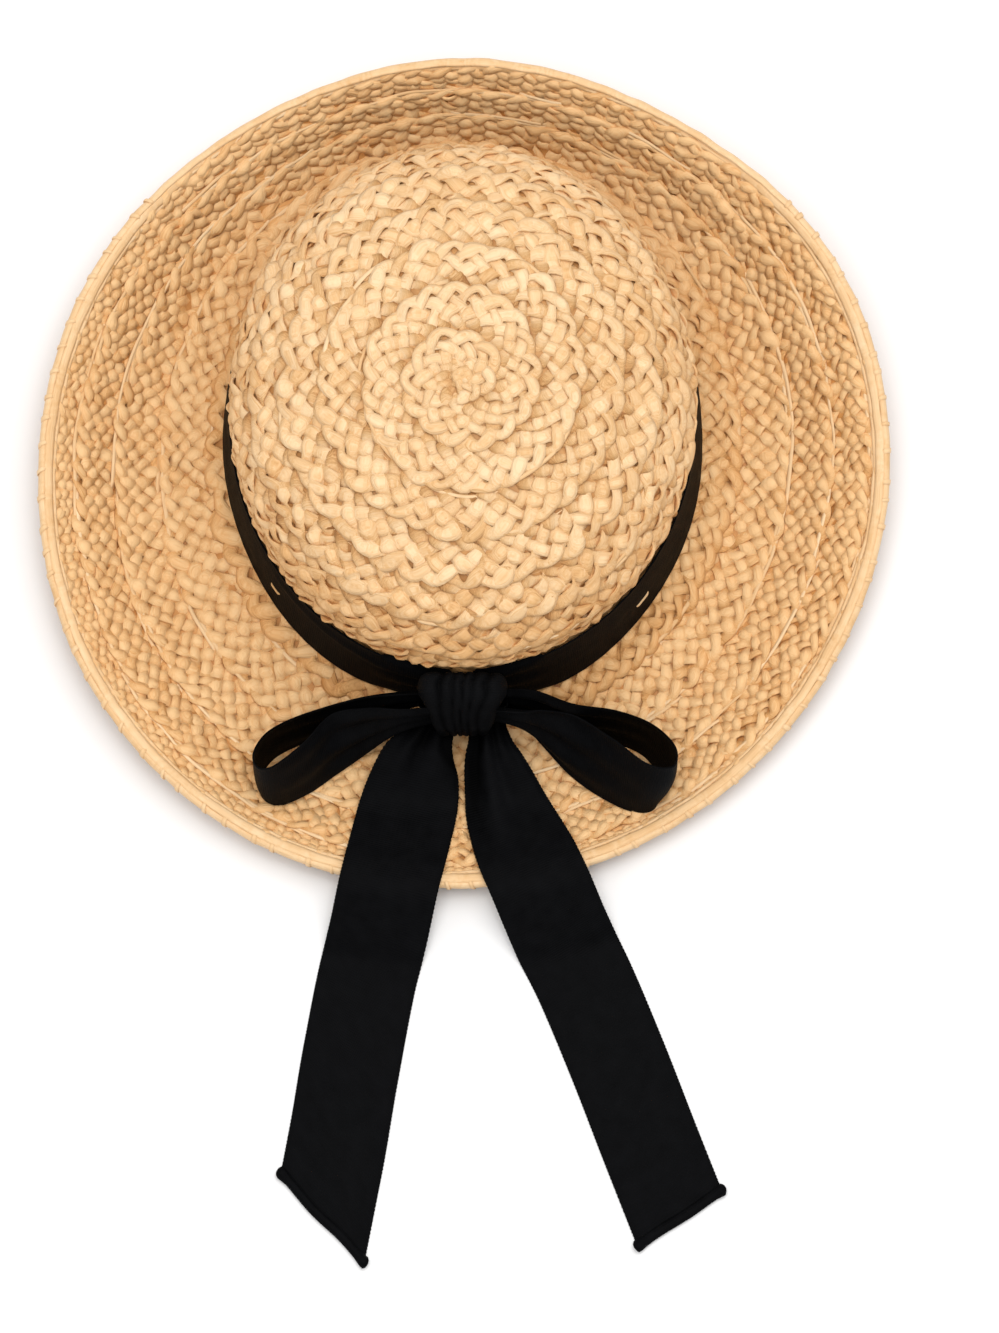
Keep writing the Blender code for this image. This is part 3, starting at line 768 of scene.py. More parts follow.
def add_plait_strand(bundle, plait, number, start, end):
    """The stretch of one strand between two distances along the plait."""
    # Its way over the hat
    strands, step = plait["strands"], plait["step"]
    drift = strand_chance[number]
    distance = np.arange(start, end + step / 2, step)
    turned = np.interp(distance, plait_distance, fine_turns)
    row, share = plait_row(turned)
    turns = FIRST_TURN + turned
    pitch, past, fill = leaf_values(plait, row, turns)
    phase = np.interp(distance, plait_distance, plait["phases"]) + number * 2 / strands
    room = row_width(turns, np.maximum(row, 0.3))
    span = 0.5 * room + past
    across = across_plait(phase)
    level = over_and_under(phase, strands)
    full = np.abs(level) ** 0.9
    off = (across * span + drift["stray"](distance)) / room * share
    edge = rim_row_at(turns) - SHORT_OF_RIM + NEARER_BEHIND * turned_under(turns)
    place, facing_out = on_hat(turns, np.minimum(row + off, edge))
    pressed = pressed_under_band(place)
    raised = plait["over_under"] * level * (1 + drift["puff"](distance)) * (1 - 0.45 * pressed)
    raised = raised + ROW_TILT * across * (1 - 0.5 * pressed) - DEEPER_UNDER_BAND * pressed
    raised = raised - np.maximum(raised - HIGHEST_UNDER_BAND, 0) * pressed
    raised = raised - START_DEPTH * (1 - ease(turned / START_TURNS))
    line = place + facing_out * raised[:, None]
    # Its width, thickness and roll
    turning = ease((np.abs(across) - 0.72) / 0.28)
    apart = pitch * np.sin(np.arctan2(span * 2 / strands, pitch / 2))
    rising = np.gradient(level) / np.gradient(phase) / (strands * math.pi)
    leaf = 0.84 + 0.16 * full + LEAF_LEAN * rising * (level > -0.3)
    wide = apart / 2 * (1 + drift["broad"](distance)) * (fill * leaf + 0.1 * np.clip(-level, 0, 1))
    wide = wide * (1 - 0.15 * turning) * np.sqrt(share)
    high = plait["height"] / 2 * (0.75 + 0.33 * full) * (1 - 0.3 * pressed)
    going = np.sign(np.cos((phase - 0.5) * math.pi))
    roll = (drift["roll"](distance) + SHINGLE * going * np.clip(level, 0, 1)) * (1 - 0.85 * pressed)
    rings = strand_rings(line, facing_out, wide, high, sides=plait["sides"], roll=roll)
    rings[..., 2] = np.maximum(rings[..., 2], PRESSED_FLAT)
    # Its tone: its strip's own shade, with painted shade at its edges, in the dips, under the row before and
    # at the front, and painted light on the brim
    tone = drift["tone"](distance)[:, None] + edge_tones(plait["sides"])
    dip = plait["dip_painted_shade"] * (1 - GLOW_BEHIND * turned_under(turns))
    tone = tone - (dip * ((1 - level) / 2) ** 2)[:, None]
    tone = tone + BRIM_PAINTED_LIGHT * ease(row - CROWN_ROWS)[:, None]
    to_front = ease(1.5 * np.cos((turns - FRONT) * math.tau) - 0.3)
    tone = tone - FRONT_PAINTED_SHADE * (to_front * ease((row - 3.5) / 2.5) * ease(CROWN_ROWS + 1 - row))[:, None]
    tucked = plait["tucked_painted_shade"] * (0.3 + 0.7 * ease(row / 1.5))
    tone = tone - (tucked * ease(-(across + 0.50) / 0.4))[:, None]
    bundle.add(rings, distance, tone, caps=False)


strand_heights = [round(plait["height"] / MM, 1) for plait in (CROWN_PLAIT, BRIM_PLAIT)]
print("a strand is so high in mm, on the crown and on the brim:", strand_heights)


# %% Chance along each strand
def drifting(step, size):
    """A function of distance that wanders about zero, the same whichever stretch is asked for."""
    count = int(plait_distance[-1] / step) + 4
    aims = np.clip(chance.normal(0, size, count), -2 * size, 2 * size)
    return lambda distance: bend_through(aims, distance / step)


def strip_tones():
    """The tone along a strand. A new strip of leaf is laid in every 15 to 40 cm."""
    joins = np.cumsum(chance.uniform(0.15, 0.40, 60))
    shades = chance.normal(0.78, 0.07, 61)
    slow, quick = drifting(30 * MM, 0.04), drifting(LEAF_PITCH / 2, 0.06)
    return lambda distance: np.clip(
        shades[np.searchsorted(joins, distance)] + slow(distance) + quick(distance), 0.08, 0.98
    )


strand_chance = [
    {
        "stray": drifting(6 * MM, 0.75 * MM),
        "puff": drifting(LEAF_PITCH / 2, 0.30),
        "broad": drifting(LEAF_PITCH / 2, 0.16),
        "roll": drifting(LEAF_PITCH / 2, 0.24),
        "tone": strip_tones(),
    }
    for number in range(BRIM_PLAIT["strands"])
]
print("strands with a chance of their own:", len(strand_chance))

# %% The start of the plait
# Short leaves are laid over the very middle, where the plait's first turn is folded shut: the way that
# each points in turns, how far off the axis it lies in mm, and its length in mm
START_LEAVES = ((0.05, 1.2, 9.0), (0.30, 1.6, 8.0), (0.57, 1.4, 9.0), (0.80, 1.8, 8.0))


def add_start_leaves(bundle):
    along = np.linspace(-0.5, 0.5, 14)
    wide = 2.4 * MM * np.sqrt(np.maximum(1 - (1.8 * along) ** 2, 0.1))
    # Painted shade: the leaves are darker towards their ends, where they go down into the plait
    tone = 0.66 - 0.25 * (2 * np.abs(along)) ** 2
    for turn, aside, length in START_LEAVES:
        way = toward(turn)
        side = np.cross((0, 0, 1), way)
        line = AXIS_PLACE + (side * aside * MM + way * (along * length * MM)[:, None])
        line[:, 2] = surface[0, LEAD, 2] + 0.5 * MM - 1.4 * MM * (2 * np.abs(along)) ** 3
        rings = strand_rings(line, np.tile([0.0, 0.0, 1.0], (len(along), 1)), wide, 0.7 * MM)
        bundle.add(rings, length_along(line), tone[:, None] + edge_tones(8))


print("leaves over the middle of the crown:", len(START_LEAVES))

# %% The plait in four stretches
PLAIT_STRETCHES = (
    ("crown_tip_braid", "crown", 0.0, 6.03, plaited_raffia),
    ("crown_side_braid", "crown", 6.03, CROWN_ROWS + 0.03, plaited_raffia),
    ("brim_inner_braid", "brim", CROWN_ROWS + 0.03, CROWN_ROWS + 2.03, brim_raffia),
    ("brim_outer_braid", "brim", CROWN_ROWS + 2.03, ROWS + 1.0, brim_raffia),
)
for plait in (CROWN_PLAIT, BRIM_PLAIT):
    plait["phases"] = plait_phases(plait)
for name, node, first_row, last_row, finish in PLAIT_STRETCHES:
    plait = CROWN_PLAIT if node == "crown" else BRIM_PLAIT
    ends = np.array([first_row, last_row]) - FIRST_ROW
    start, end = np.interp(ends, fine_turns, plait_distance)
    braid = Bundle()
    for number in range(plait["strands"]):
        add_plait_strand(braid, plait, number, start, end)
    if first_row == 0:
        add_start_leaves(braid)
    braid.make(name, finish, node)

# %% [markdown]
# ## What lies under the leaves
#
# Each row's inner edge is hidden under the row before it, so there is always more straw behind a hole in
# the plait. One thin layer, half a millimetre inside the middle of the wall, stands for it. It is darker,
# because little light gets in.

# %% Under layer
UNDER_TONE = 0.22
UNDER_DIRECTIONS = 120
UNDER_HALF = 0.15 * MM


def add_under_layer(name, node, finish, first_row, last_row, depth):
    """A closed sheet between two rows, so many metres inside the middle of the wall."""
    rows = np.linspace(first_row, last_row, int((last_row - first_row) * 5) + 1)
    turns = np.arange(UNDER_DIRECTIONS) / UNDER_DIRECTIONS
    row, turn = np.meshgrid(rows, turns)
    place, facing_out = on_hat(turn, np.minimum(row, rim_row_at(turn) - 0.12))
    place = place - facing_out * depth
    place[..., 2] = np.maximum(place[..., 2], PRESSED_FLAT + 3 * UNDER_HALF)
    under = Bundle()
    thick = facing_out * UNDER_HALF
    sheet = np.concatenate([place + thick, (place - thick)[:, ::-1]], axis=1)
    under.add(sheet, length_along(place[:, -1]), np.full(UNDER_DIRECTIONS, UNDER_TONE), closed=True)
    under.make(name, finish, node)


add_under_layer("crown_under_layer", "crown", plaited_raffia, 0.02, CROWN_ROWS, 0.50 * MM)
add_under_layer("brim_under_layer", "brim", brim_raffia, CROWN_ROWS, ROWS, 0.45 * MM)

# %% [markdown]
# ## The thread along each row
#
# The rows are sewn together with strips of raffia that show as thin pale lines along the edge on top. They
# slip under a leaf now and then, so the lines come and go.

# %% Seam thread
SEAM_WIDTH = 1.7 * MM
SEAM_HEIGHT = 0.8 * MM
# How far it slips under the leaves and under the ribbon, and the deepest that it may go, or it would come
# out inside the hat
THREAD_DIP = 1.8 * MM
THREAD_UNDER_BAND = 0.9 * MM
THREAD_DEEPEST = -0.75 * MM
THREAD_STEP = 2.6 * MM
distance = np.arange(plait_distance[-1] * 0.02, plait_distance[-1] - 0.06, THREAD_STEP)
turned = np.interp(distance, plait_distance, fine_turns)
row, share = plait_row(turned)
turns = FIRST_TURN + turned
room = row_width(turns, np.maximum(row, 0.3))
seam = Bundle()
# How far past the edge of the row each thread lies, and how often it shows, from -1 to 1
for past, shown in ((0.4 * MM, 0.15), (1.7 * MM, -0.25)):
    off = (0.5 * room + past + wander(distance, 11 * MM, 0.7 * MM)) / room * share
    place, facing_out = on_hat(turns, np.minimum(row + off, rim_row_at(turns) - 0.2))
    hidden = shown - 0.75 * (1 - ease(row - CROWN_ROWS))
    dip = ease((wander(distance, 18 * MM, 1.0) - hidden) / 0.5) * THREAD_DIP
    raised = ROW_TILT - dip + wander(distance, 6 * MM, 0.2 * MM)
    raised = np.maximum(raised - THREAD_UNDER_BAND * pressed_under_band(place), THREAD_DEEPEST)
    line = place + facing_out * raised[:, None]
    tone = np.clip(0.74 + wander(distance, 45 * MM, 0.2), 0.3, 1)
    half_width = SEAM_WIDTH / 2 * (1 + wander(distance, 15 * MM, 0.25))
    seam.add(strand_rings(line, facing_out, half_width, SEAM_HEIGHT / 2, sides=6), distance, tone)
seam.make("seam_thread", smooth_raffia)

# %% [markdown]
# ## The bound rim
#
# The raw edge of the last row is closed with long smooth strips of raffia, folded over it and whipped
# down with thread. From above the rim shows as a smooth pale band with a thinner strand inside it, and
# the thread makes a small bump on the edge every centimetre. Round the back the binding is turned under,
# so the edge of the plait itself shows there, with no stitches.

# %% Rim strips
RIM_STEPS = 600
rim_turns = np.arange(RIM_STEPS) / RIM_STEPS
rim_row = rim_row_at(rim_turns)
rim_place, rim_up = on_hat(rim_turns, rim_row)
rim_out = unit(rim_place - on_hat(rim_turns, rim_row - 0.1)[0])
rim_length = length_along(np.vstack([rim_place, rim_place[:1]]))


def round_wander(waves, size):
    """A value that wanders round the rim and meets itself."""
    turn = rim_turns * math.tau
    parts = [np.sin(wave * turn + chance.uniform(0, 6.3)) * chance.uniform(0.4, 1) for wave in waves]
    return size * sum(parts) / len(parts)


# How far out and up from the middle of the wall, half width and half height in mm, and whether it is on edge
RIM_STRIPS = (
    (0.25, 0.0, 2.15, 1.15, True),  # the roll round the edge
    (-1.75, 1.95, 1.85, 0.62, False),  # the strip on top
    (-1.75, -1.95, 1.85, 0.62, False),  # the strip below
    (-4.1, 1.55, 0.75, 0.5, False),  # the thinner strand on top
    (-4.1, -1.55, 0.75, 0.5, False),  # and below
)
# How far in and down the strips lie round the back, in mm
BACK_IN, BACK_DOWN = 0.8, 1.6
rim = Bundle()
for out, up, half_width, half_height, on_edge in RIM_STRIPS:
    out_here = (out - BACK_IN * turned_under(rim_turns) + round_wander((9, 23, 41, 67), 0.35)) * MM
    up_here = (up - BACK_DOWN * turned_under(rim_turns) * (up > 0) + round_wander((13, 29, 53), 0.22)) * MM
    line = rim_place + rim_out * out_here[:, None] + rim_up * up_here[:, None]
    wide = half_width * MM * (1 + round_wander((17, 37, 71), 0.16))
    tone = np.clip(0.74 + round_wander((3, 7, 19, 45), 0.20), 0, 1)
    flat_side = rim_out if on_edge else rim_up
    rings = strand_rings(line, flat_side, wide, half_height * MM, sides=8, closed=True)
    rim.add(rings, rim_length[:-1], tone, closed=True)
rim.make("bound_rim", smooth_raffia, "rim_binding")

# %% Whip stitches over the rim
STITCH_PITCH = 9.5 * MM
# The upper half of the thread's path over the edge, out and up in mm. The lower half is its mirror image.
STITCH_PATH = ((-0.9, 1.2), (-0.2, 2.1), (0.9, 2.0), (1.5, 0.9))
stitches = Bundle()
count = int(rim_length[-1] / STITCH_PITCH)
path = np.array(STITCH_PATH) * MM
path = np.vstack([path, path[::-1] * (1, -1)])
steps = np.linspace(0, len(path) - 1, 15)
path = np.stack([bend_through(path[:, k], steps) for k in (0, 1)], 1)
for number in range(count):
    turn = (number + chance.uniform(-0.18, 0.18)) / count
    at = int(turn * RIM_STEPS) % RIM_STEPS
    if turned_under(turn) > 0.3:
        continue
    sideways = unit(rim_place[(at + 1) % RIM_STEPS] - rim_place[at])
    slant = np.linspace(-1, 1, len(path))[:, None] * sideways * chance.uniform(0.6, 1.4) * MM
    line = rim_place[at] + rim_out[at] * path[:, :1] + rim_up[at] * path[:, 1:] + slant
    outward = rim_out[at] * path[:, :1] * 1.2 + rim_up[at] * path[:, 1:] + rim_out[at] * 1e-3
    rings = strand_rings(line, outward, chance.uniform(0.6, 1.2) * MM, 0.24 * MM, sides=6)
    stitches.add(rings, length_along(line), np.full(len(line), chance.uniform(0.70, 0.84)))
stitches.make("rim_stitches", thread_raffia)

# %% [markdown]
# ## The black ribbon
#
# One kind of ribbon makes the whole trim: 36.5 mm wide, thin, with a firm edge. It goes once round the
# foot of the crown, a bow of two loops stands in front of it, and two tails run over the brim to the
# floor. Cloth could be simulated, but a tied bow keeps the form that hands gave it, so the shapes are led
# by short tables read off the picture. Where a table draws the ribbon in, the width that is lost goes
# into small pleats, as it does in a real knot.

# %% The ribbon as cloth
RIBBON_WIDTH = 36.5 * MM
RIBBON_HALF = 0.22 * MM
SELVEDGE_HALF = 0.34 * MM
# Places across the ribbon, closer at its firm edges, and half its thickness at each
ACROSS = np.concatenate([[-0.5, -0.493, -0.48], np.linspace(-0.465, 0.465, 19), [0.48, 0.493, 0.5]])
SELVEDGE = np.interp(np.abs(ACROSS), [0.465, 0.48, 0.493, 0.5], [0, 0.7, 1, 0.3])
HALF_THICK = RIBBON_HALF + (SELVEDGE_HALF - RIBBON_HALF) * SELVEDGE
MIDDLE = len(ACROSS) // 2


def shell_rings(middle, half, closed):
    """Rings round a thin sheet: over its top and back below. middle is (n, m, 3) and half is (n, m)."""
    upward = unit(np.cross(ahead_of(middle, closed), np.gradient(middle, axis=1)))
    thick = np.broadcast_to(half, middle.shape[:2])[..., None] * upward
    return np.concatenate([middle + thick, (middle - thick)[:, ::-1]], axis=1)


def pleated(spread, folds, start):
    """How far pleats stand off the sheet (n, m), when its width is drawn in to a share of the whole."""
    room = np.sqrt(np.maximum(1 / np.clip(spread, 0.2, 1) - 1, 0))
    size = RIBBON_WIDTH * spread * room / (math.pi * folds)
    return size[:, None] * np.sin(math.tau * (folds * (ACROSS[None, :] + 0.5) + start))


def add_ribbon(name, middle, node, half=HALF_THICK, closed=False, shade=0.0):
    """A piece of ribbon that follows a grid of points, whose measured length is printed."""
    # shade is painted shade where it is below 0 and painted light where it is above; it goes into the tone
    tone = np.clip(0.5 + np.broadcast_to(shade, middle.shape[:2]), 0, 1)
    tone = np.concatenate([tone, tone[:, ::-1]], axis=1)
    centre = middle[:, middle.shape[1] // 2]
    along = length_along(np.vstack([centre, centre[:1]]) if closed else centre)
    cloth = Bundle()
    cloth.add(shell_rings(middle, half, closed), along[: len(middle)], tone, closed)
    piece = cloth.make(name, black_ribbon, node)
    print(f"{name}: {along[-1] / MM:.0f} mm of ribbon")


# %% Ribbon material
RIBBON_COLOURS = ((0.0004, 0.0004, 0.0005), (0.0062, 0.0064, 0.0072))


def make_ribbon_group():
    group, given, made = new_fibre_group("ribbed ribbon", {"Rib Pitch": 0.9 * MM})
    length = add_node(group, "ShaderNodeSeparateXYZ", {0: given["Strand"]}).outputs[0]
    turns = math_node(group, "MULTIPLY", math_node(group, "DIVIDE", length, given["Rib Pitch"]), math.tau)
    rib = math_node(group, "SINE", turns, 0.0)
    scaled = {0: given["Strand"], 1: (160.0, 14.0, 0.0)}
    spread = add_node(group, "ShaderNodeVectorMath", scaled, operation="MULTIPLY").outputs[0]
    fine = add_node(group, "ShaderNodeVectorMath", {0: spread, 1: (9.0, 26.0, 1.0)}, operation="MULTIPLY")
    cloud, yarn = noise_node(group, spread, 5.0), noise_node(group, fine.outputs[0], 2.0)
    uneven = math_node(group, "MULTIPLY_ADD", yarn, 0.5, math_node(group, "MULTIPLY", cloud, 0.5))
    # The tone brings in each piece's painted shade and highlights
    shade = math_node(group, "ADD", uneven, math_node(group, "SUBTRACT", given["Tone"], 0.5))
    group.links.new(ramp_node(group, shade, RIBBON_COLOURS, 0.1, 0.9), made["Color"])
    group.links.new(math_node(group, "MULTIPLY_ADD", rib, 0.5, yarn), made["Height"])
    group.links.new(math_node(group, "MULTIPLY_ADD", cloud, 0.25, 0.45), made["Roughness"])
    return group


black_ribbon, shader = fibre_material("black ribbon", make_ribbon_group(), {}, 0.5, 0.15 * MM)
shader.inputs["IOR"].default_value = 1.08
print("the ribbon is", RIBBON_WIDTH / MM, "mm wide, in", len(ACROSS) - 1, "strips of faces")

# %% [markdown]
# ## The band
#
# The ribbon is drawn tight round the crown, so it follows the CAD band: rays from outside find its face,
# and its edges are read off the band's own points. Near the knot it is gathered.

# %% The band round the crown
BAND_STEPS = 360
band_turns = np.arange(BAND_STEPS) / BAND_STEPS
band_mesh = np.array([v.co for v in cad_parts["hat_band"].data.vertices]) - AXIS_PLACE
band_angle = np.arctan2(band_mesh[:, 1], band_mesh[:, 0]) / math.tau % 1


def band_edge(pick):
    """The height of the band's lower (min) or upper (max) edge in every direction."""
    ways = np.arange(73) / 72
    apart = np.abs((band_angle[None, :] - ways[:, None] + 0.5) % 1 - 0.5)
    heights = np.array([pick(band_mesh[near < 0.011, 2]) for near in apart])
    return np.interp(band_turns, ways, heights)


low_edge, high_edge = band_edge(np.min), band_edge(np.max)
band_middle = np.zeros((BAND_STEPS, len(ACROSS), 3))
for step, turn in enumerate(band_turns):
    out = Vector(toward(turn))
    for column, share in enumerate(ACROSS + 0.5):
        height = low_edge[step] + (high_edge[step] - low_edge[step]) * min(max(share, 0.02), 0.98)
        met = trees["hat_band"].ray_cast(AXIS + out * 0.2 + UP * height, -out)[0]
        reach = (Vector((met.x, met.y, 0)) - AXIS).length - RIBBON_HALF
        place = AXIS + out * reach
        place.z = low_edge[step] + (high_edge[step] - low_edge[step]) * share
        band_middle[step, column] = place
from_knot = np.abs(band_turns - FRONT)
out = unit((band_middle - AXIS_PLACE) * (1, 1, 0))
# A long fold runs up from the knot on the left, the ribbon is gathered at the knot, and it waves a little.
fold_place = ACROSS[None, :] - 0.16 - 1.1 * from_knot[:, None]
left_side = ease((FRONT - band_turns) / 0.01) * ease((0.17 - from_knot) / 0.08)
fold = np.exp(-((fold_place / 0.06) ** 2)) * left_side[:, None] * 0.9 * MM
gather = pleated(1 - 0.35 * ease((0.055 - from_knot) / 0.05), 2.5, 0.2) * 0.35
soft = np.sin(band_turns * math.tau * 7 + 1)[:, None] * np.sin(ACROSS * 5 + 0.7)[None, :] * 0.25 * MM
band_middle += out * (fold + gather + soft)[..., None]
add_ribbon("ribbon_band", band_middle, "hat_band", closed=True)

# %% [markdown]
# ## The knot
#
# A short piece of the same ribbon is wrapped over the middle of the bow and gathered, so that its folds
# run up and down over the front.

# %% Knot
KNOT_WIDTH, KNOT_HEIGHT, KNOT_DEPTH = 33 * MM, 38 * MM, 14 * MM
KNOT_SQUARENESS = 3.0
KNOT_STEPS = 130
# Places across the knot, closer at its sides, where it curves in
KNOT_ACROSS = 0.5 * np.sin(np.linspace(-math.pi / 2, math.pi / 2, 53))
# How far its top leans back to the band, how far its lower front bulges, and how much it narrows below
KNOT_LEANS_BACK = 5.0 * MM
KNOT_BULGE = 2.5 * MM
KNOT_NARROWS = 0.42
GATHERS = 5.5
GATHER_DEPTH = 0.13
knot_low, knot_high = (np.array(corner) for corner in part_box("bow_knot"))
knot_centre = (knot_low + knot_high) / 2
turn = np.arange(KNOT_STEPS) / KNOT_STEPS * math.tau
ahead, up = -np.cos(turn), np.sin(turn)
corner = (np.abs(ahead) ** KNOT_SQUARENESS + np.abs(up) ** KNOT_SQUARENESS) ** (-1 / KNOT_SQUARENESS)
ahead, up = (ahead * corner)[:, None], (up * corner)[:, None]
across = KNOT_ACROSS[None, :]
# Each gather wanders a little sideways as it goes round the knot.
sideways = 0.035 * np.sin(turn * 2 + 0.5) + 0.02 * np.sin(turn * 5)
gather_place = GATHERS * (across + sideways[:, None] * (1 - 4 * across**2)) + 0.6 * np.sin(across * 7)
valley = (1 - np.abs(np.sin(math.pi * gather_place))) ** 1.6
# Its sides are tucked in round the loops, down to a small opening.
rounded = np.maximum(1 - np.abs(2 * across) ** 9, 0) ** 0.4 * 0.96 + 0.04
size = rounded * (1 - GATHER_DEPTH * valley)
# 0 at the back of its top, 1 at the foot of its front
down = np.clip(0.62 * (1 - ahead) / 2 + 0.38 * (1 - up) / 2, 0, 1)
in_front = ease((0.6 - ahead) / 1.2) * ease((0.9 - up) / 1.2)
x = KNOT_WIDTH * across * (1 - KNOT_NARROWS * ease((down - 0.45) / 0.55))
y = -KNOT_DEPTH / 2 * (1 - ahead * size) - KNOT_BULGE * in_front + KNOT_LEANS_BACK * np.maximum(up, 0)
z = (KNOT_HEIGHT / 2 - RIBBON_HALF) * up * size
knot_middle = np.stack([x, y, z], axis=-1) + (knot_centre[0], knot_high[1], knot_centre[2])
# Painted shade: darker in the valleys of the gathers and towards the foot of its front
shade = 0.10 - 0.3 * valley - 0.25 * ease((down - 0.6) / 0.4)
half = np.full(len(KNOT_ACROSS), RIBBON_HALF)
add_ribbon("ribbon_knot", knot_middle[::-1], "bow_knot", half, closed=True, shade=shade[::-1])

# %% [markdown]
# ## The loops
#
# Each loop leaves the knot, stands on one edge on the brim, turns at its end and comes back. A table says
# where the ribbon is at thirteen places along it: how far out from the knot and ahead of it as shares of
# the bow's reach, and how far it leans back and splays outward in degrees. Both loops share the last two
# rows: how much of the width is spread, and how firmly the lower edge is on the brim.

# %% Loop tables
BOTH_LOOPS = {
    "spread": (0.50, 0.66, 0.86, 0.97, 1, 1, 1, 1, 0.98, 0.92, 0.78, 0.62, 0.50),
    "foot": (0, 0.20, 0.75, 1, 1, 1, 1, 1, 1, 0.95, 0.60, 0.20, 0),
}
LEFT_LOOP = {
    "out": (-0.10, 0.13, 0.38, 0.70, 0.90, 0.98, 0.95, 0.85, 0.68, 0.51, 0.30, 0.10, -0.10),
    "ahead": (-0.06, -0.02, 0.01, 0.10, 0.21, 0.36, 0.47, 0.48, 0.36, 0.19, 0.11, 0.08, 0.05),
    "lean": (0, 6, 9, 6, 5, 6, 8, 12, 20, 30, 20, 5, 0),
    "splay": (0, 0, 0, 1, 1, 2, 3, 3, 1, 0, 0, 0, 0),
}
RIGHT_LOOP = {
    "out": (-0.10, 0.14, 0.40, 0.65, 0.86, 0.98, 0.96, 0.82, 0.62, 0.40, 0.22, 0.08, -0.10),
    "ahead": (-0.06, -0.02, 0.06, 0.09, 0.18, 0.34, 0.50, 0.50, 0.36, 0.20, 0.11, 0.08, 0.05),
    "lean": (0, 8, 10, 7, 7, 9, 14, 18, 30, 34, 20, 5, 0),
    "splay": (0, 0, 0, 2, 4, 8, 10, 6, 2, 0, 0, 0, 0),
}
BOW_REACH = 60 * MM
CAD_GAP = 0.3 * MM
# How far over the smooth brim the ribbon's middle lies, which is on the leaves of the plait
CLOTH_LIFT = 0.9 * MM


def brim_height(x, y):
    """The top of the brim under each place in plan."""
    return np.array([trees["brim"].ray_cast(Vector((a, b, CLEAR)), -UP)[0].z for a, b in zip(x, y)])


def softened(values, reach):
    """Values with their kinks rounded over so many steps each way."""
    padded = np.pad(values, [(reach, reach)] + [(0, 0)] * (values.ndim - 1), mode="edge")
    weights = np.hanning(2 * reach + 3)[1:-1]
    weights = weights / weights.sum()
    return sum(weight * padded[k : k + len(values)] for k, weight in enumerate(weights))


loop_reaches = [round(max(table["out"]) * BOW_REACH / MM, 1) for table in (LEFT_LOOP, RIGHT_LOOP)]
print("the loops reach so far past the knot in mm:", loop_reaches)

# %% One loop
LOOP_STEPS = 210


def add_loop(name, node, table, side, bend):
    """A loop by its table, on the left (-1) or the right (1), with its face bent out by a length."""
    share = np.linspace(0, 1, LOOP_STEPS)
    row = {
        column: bend_through(values, share * (len(values) - 1))
        for column, values in {**table, **BOTH_LOOPS}.items()
    }
    x = knot_centre[0] + side * (KNOT_WIDTH / 2 + CAD_GAP + BOW_REACH * row["out"])
    y = knot_centre[1] - BOW_REACH * row["ahead"]
    spread = np.clip(row["spread"], 0.3, 1)
    width = RIBBON_WIDTH * spread
    back = width * np.sin(np.radians(row["lean"]))
    out = side * width * np.sin(np.radians(row["splay"]))
    up = np.sqrt(width**2 - back**2 - out**2)
    x, y = x - out / 2, y - back / 2
    on_brim = softened(brim_height(x, y), 8) + CLOTH_LIFT
    low = np.maximum(knot_centre[2] - up / 2, on_brim)
    low = low + (on_brim - low) * ease(row["foot"])
    lower = np.stack([x, y, low], 1)
    upright = np.stack([out, back, up - 0.4 * MM], 1)
    middle = lower[:, None] + upright[:, None] * (ACROSS + 0.5)[None, :, None]
    ahead = unit(np.gradient(lower, axis=0))
    off = unit(np.cross(ahead, upright))
    pleats = pleated(spread, 2.5, 0.1) * 0.6
    bow = bend * np.sin(math.pi * (ACROSS + 0.5))[None, :] * np.sin(math.pi * share)[:, None]
    waves = wander(share, 0.16, 1.0)[:, None] * np.sin(ACROSS * 6 + 1)[None, :] * 0.5 * MM
    middle += off[:, None] * (pleats + bow + waves)[..., None]
    # Painted shade: darker along the first part of the loop, out of the knot, and where it comes back in
    shade = -0.22 * ease((0.45 - share) / 0.1) - 0.25 * ease((0.07 - np.abs(share - 0.97)) / 0.1)
    add_ribbon(name, middle, node, shade=shade[:, None])


add_loop("ribbon_loop_left", "bow_loop_left", LEFT_LOOP, -1, 1.2 * MM)
add_loop("ribbon_loop_right", "bow_loop_right", RIGHT_LOOP, 1, -1.2 * MM)

# %% [markdown]
# ## The tails
#
# Each tail comes out narrow and pleated below the knot, spreads to its full width over the brim, and
# falls softly from the rim to the floor. Its end is cut on the slant and rolled into a narrow hem.

# %% Tail tables
# At eleven places along each tail: how far ahead of the knot and how far aside, as shares of the tails'
# reach, and the share of the width that is spread
TAIL_AHEAD = (0, 0.045, 0.085, 0.140, 0.200, 0.290, 0.410, 0.520, 0.680, 0.840, 1)
LEFT_ASIDE = (-0.048, -0.068, -0.084, -0.098, -0.113, -0.134, -0.162, -0.190, -0.220, -0.247, -0.277)
LEFT_SPREAD = (0.38, 0.52, 0.78, 0.94, 1, 1, 1, 1, 1, 1, 1)
RIGHT_ASIDE = (0.045, 0.052, 0.059, 0.075, 0.094, 0.131, 0.186, 0.241, 0.307, 0.368, 0.430)
RIGHT_SPREAD = (0.34, 0.42, 0.58, 0.75, 0.89, 1, 1, 1, 1, 1, 1)
# Soft folds out of the knot: where each starts and ends across the ribbon, inner edge first, how far
# along the tail it runs, its half width as a share of the ribbon's and its height in mm, which also sets
# how strong its painted highlight and painted shade are
LEFT_FOLDS = ((-0.16, -0.34, 0.36, 0.10, 1.8), (0.18, 0.24, 0.34, 0.08, 1.2))
RIGHT_FOLDS = ((-0.05, -0.20, 0.52, 0.13, 3.0), (0.26, 0.16, 0.36, 0.08, 1.2))
TAIL_REACH = 187 * MM
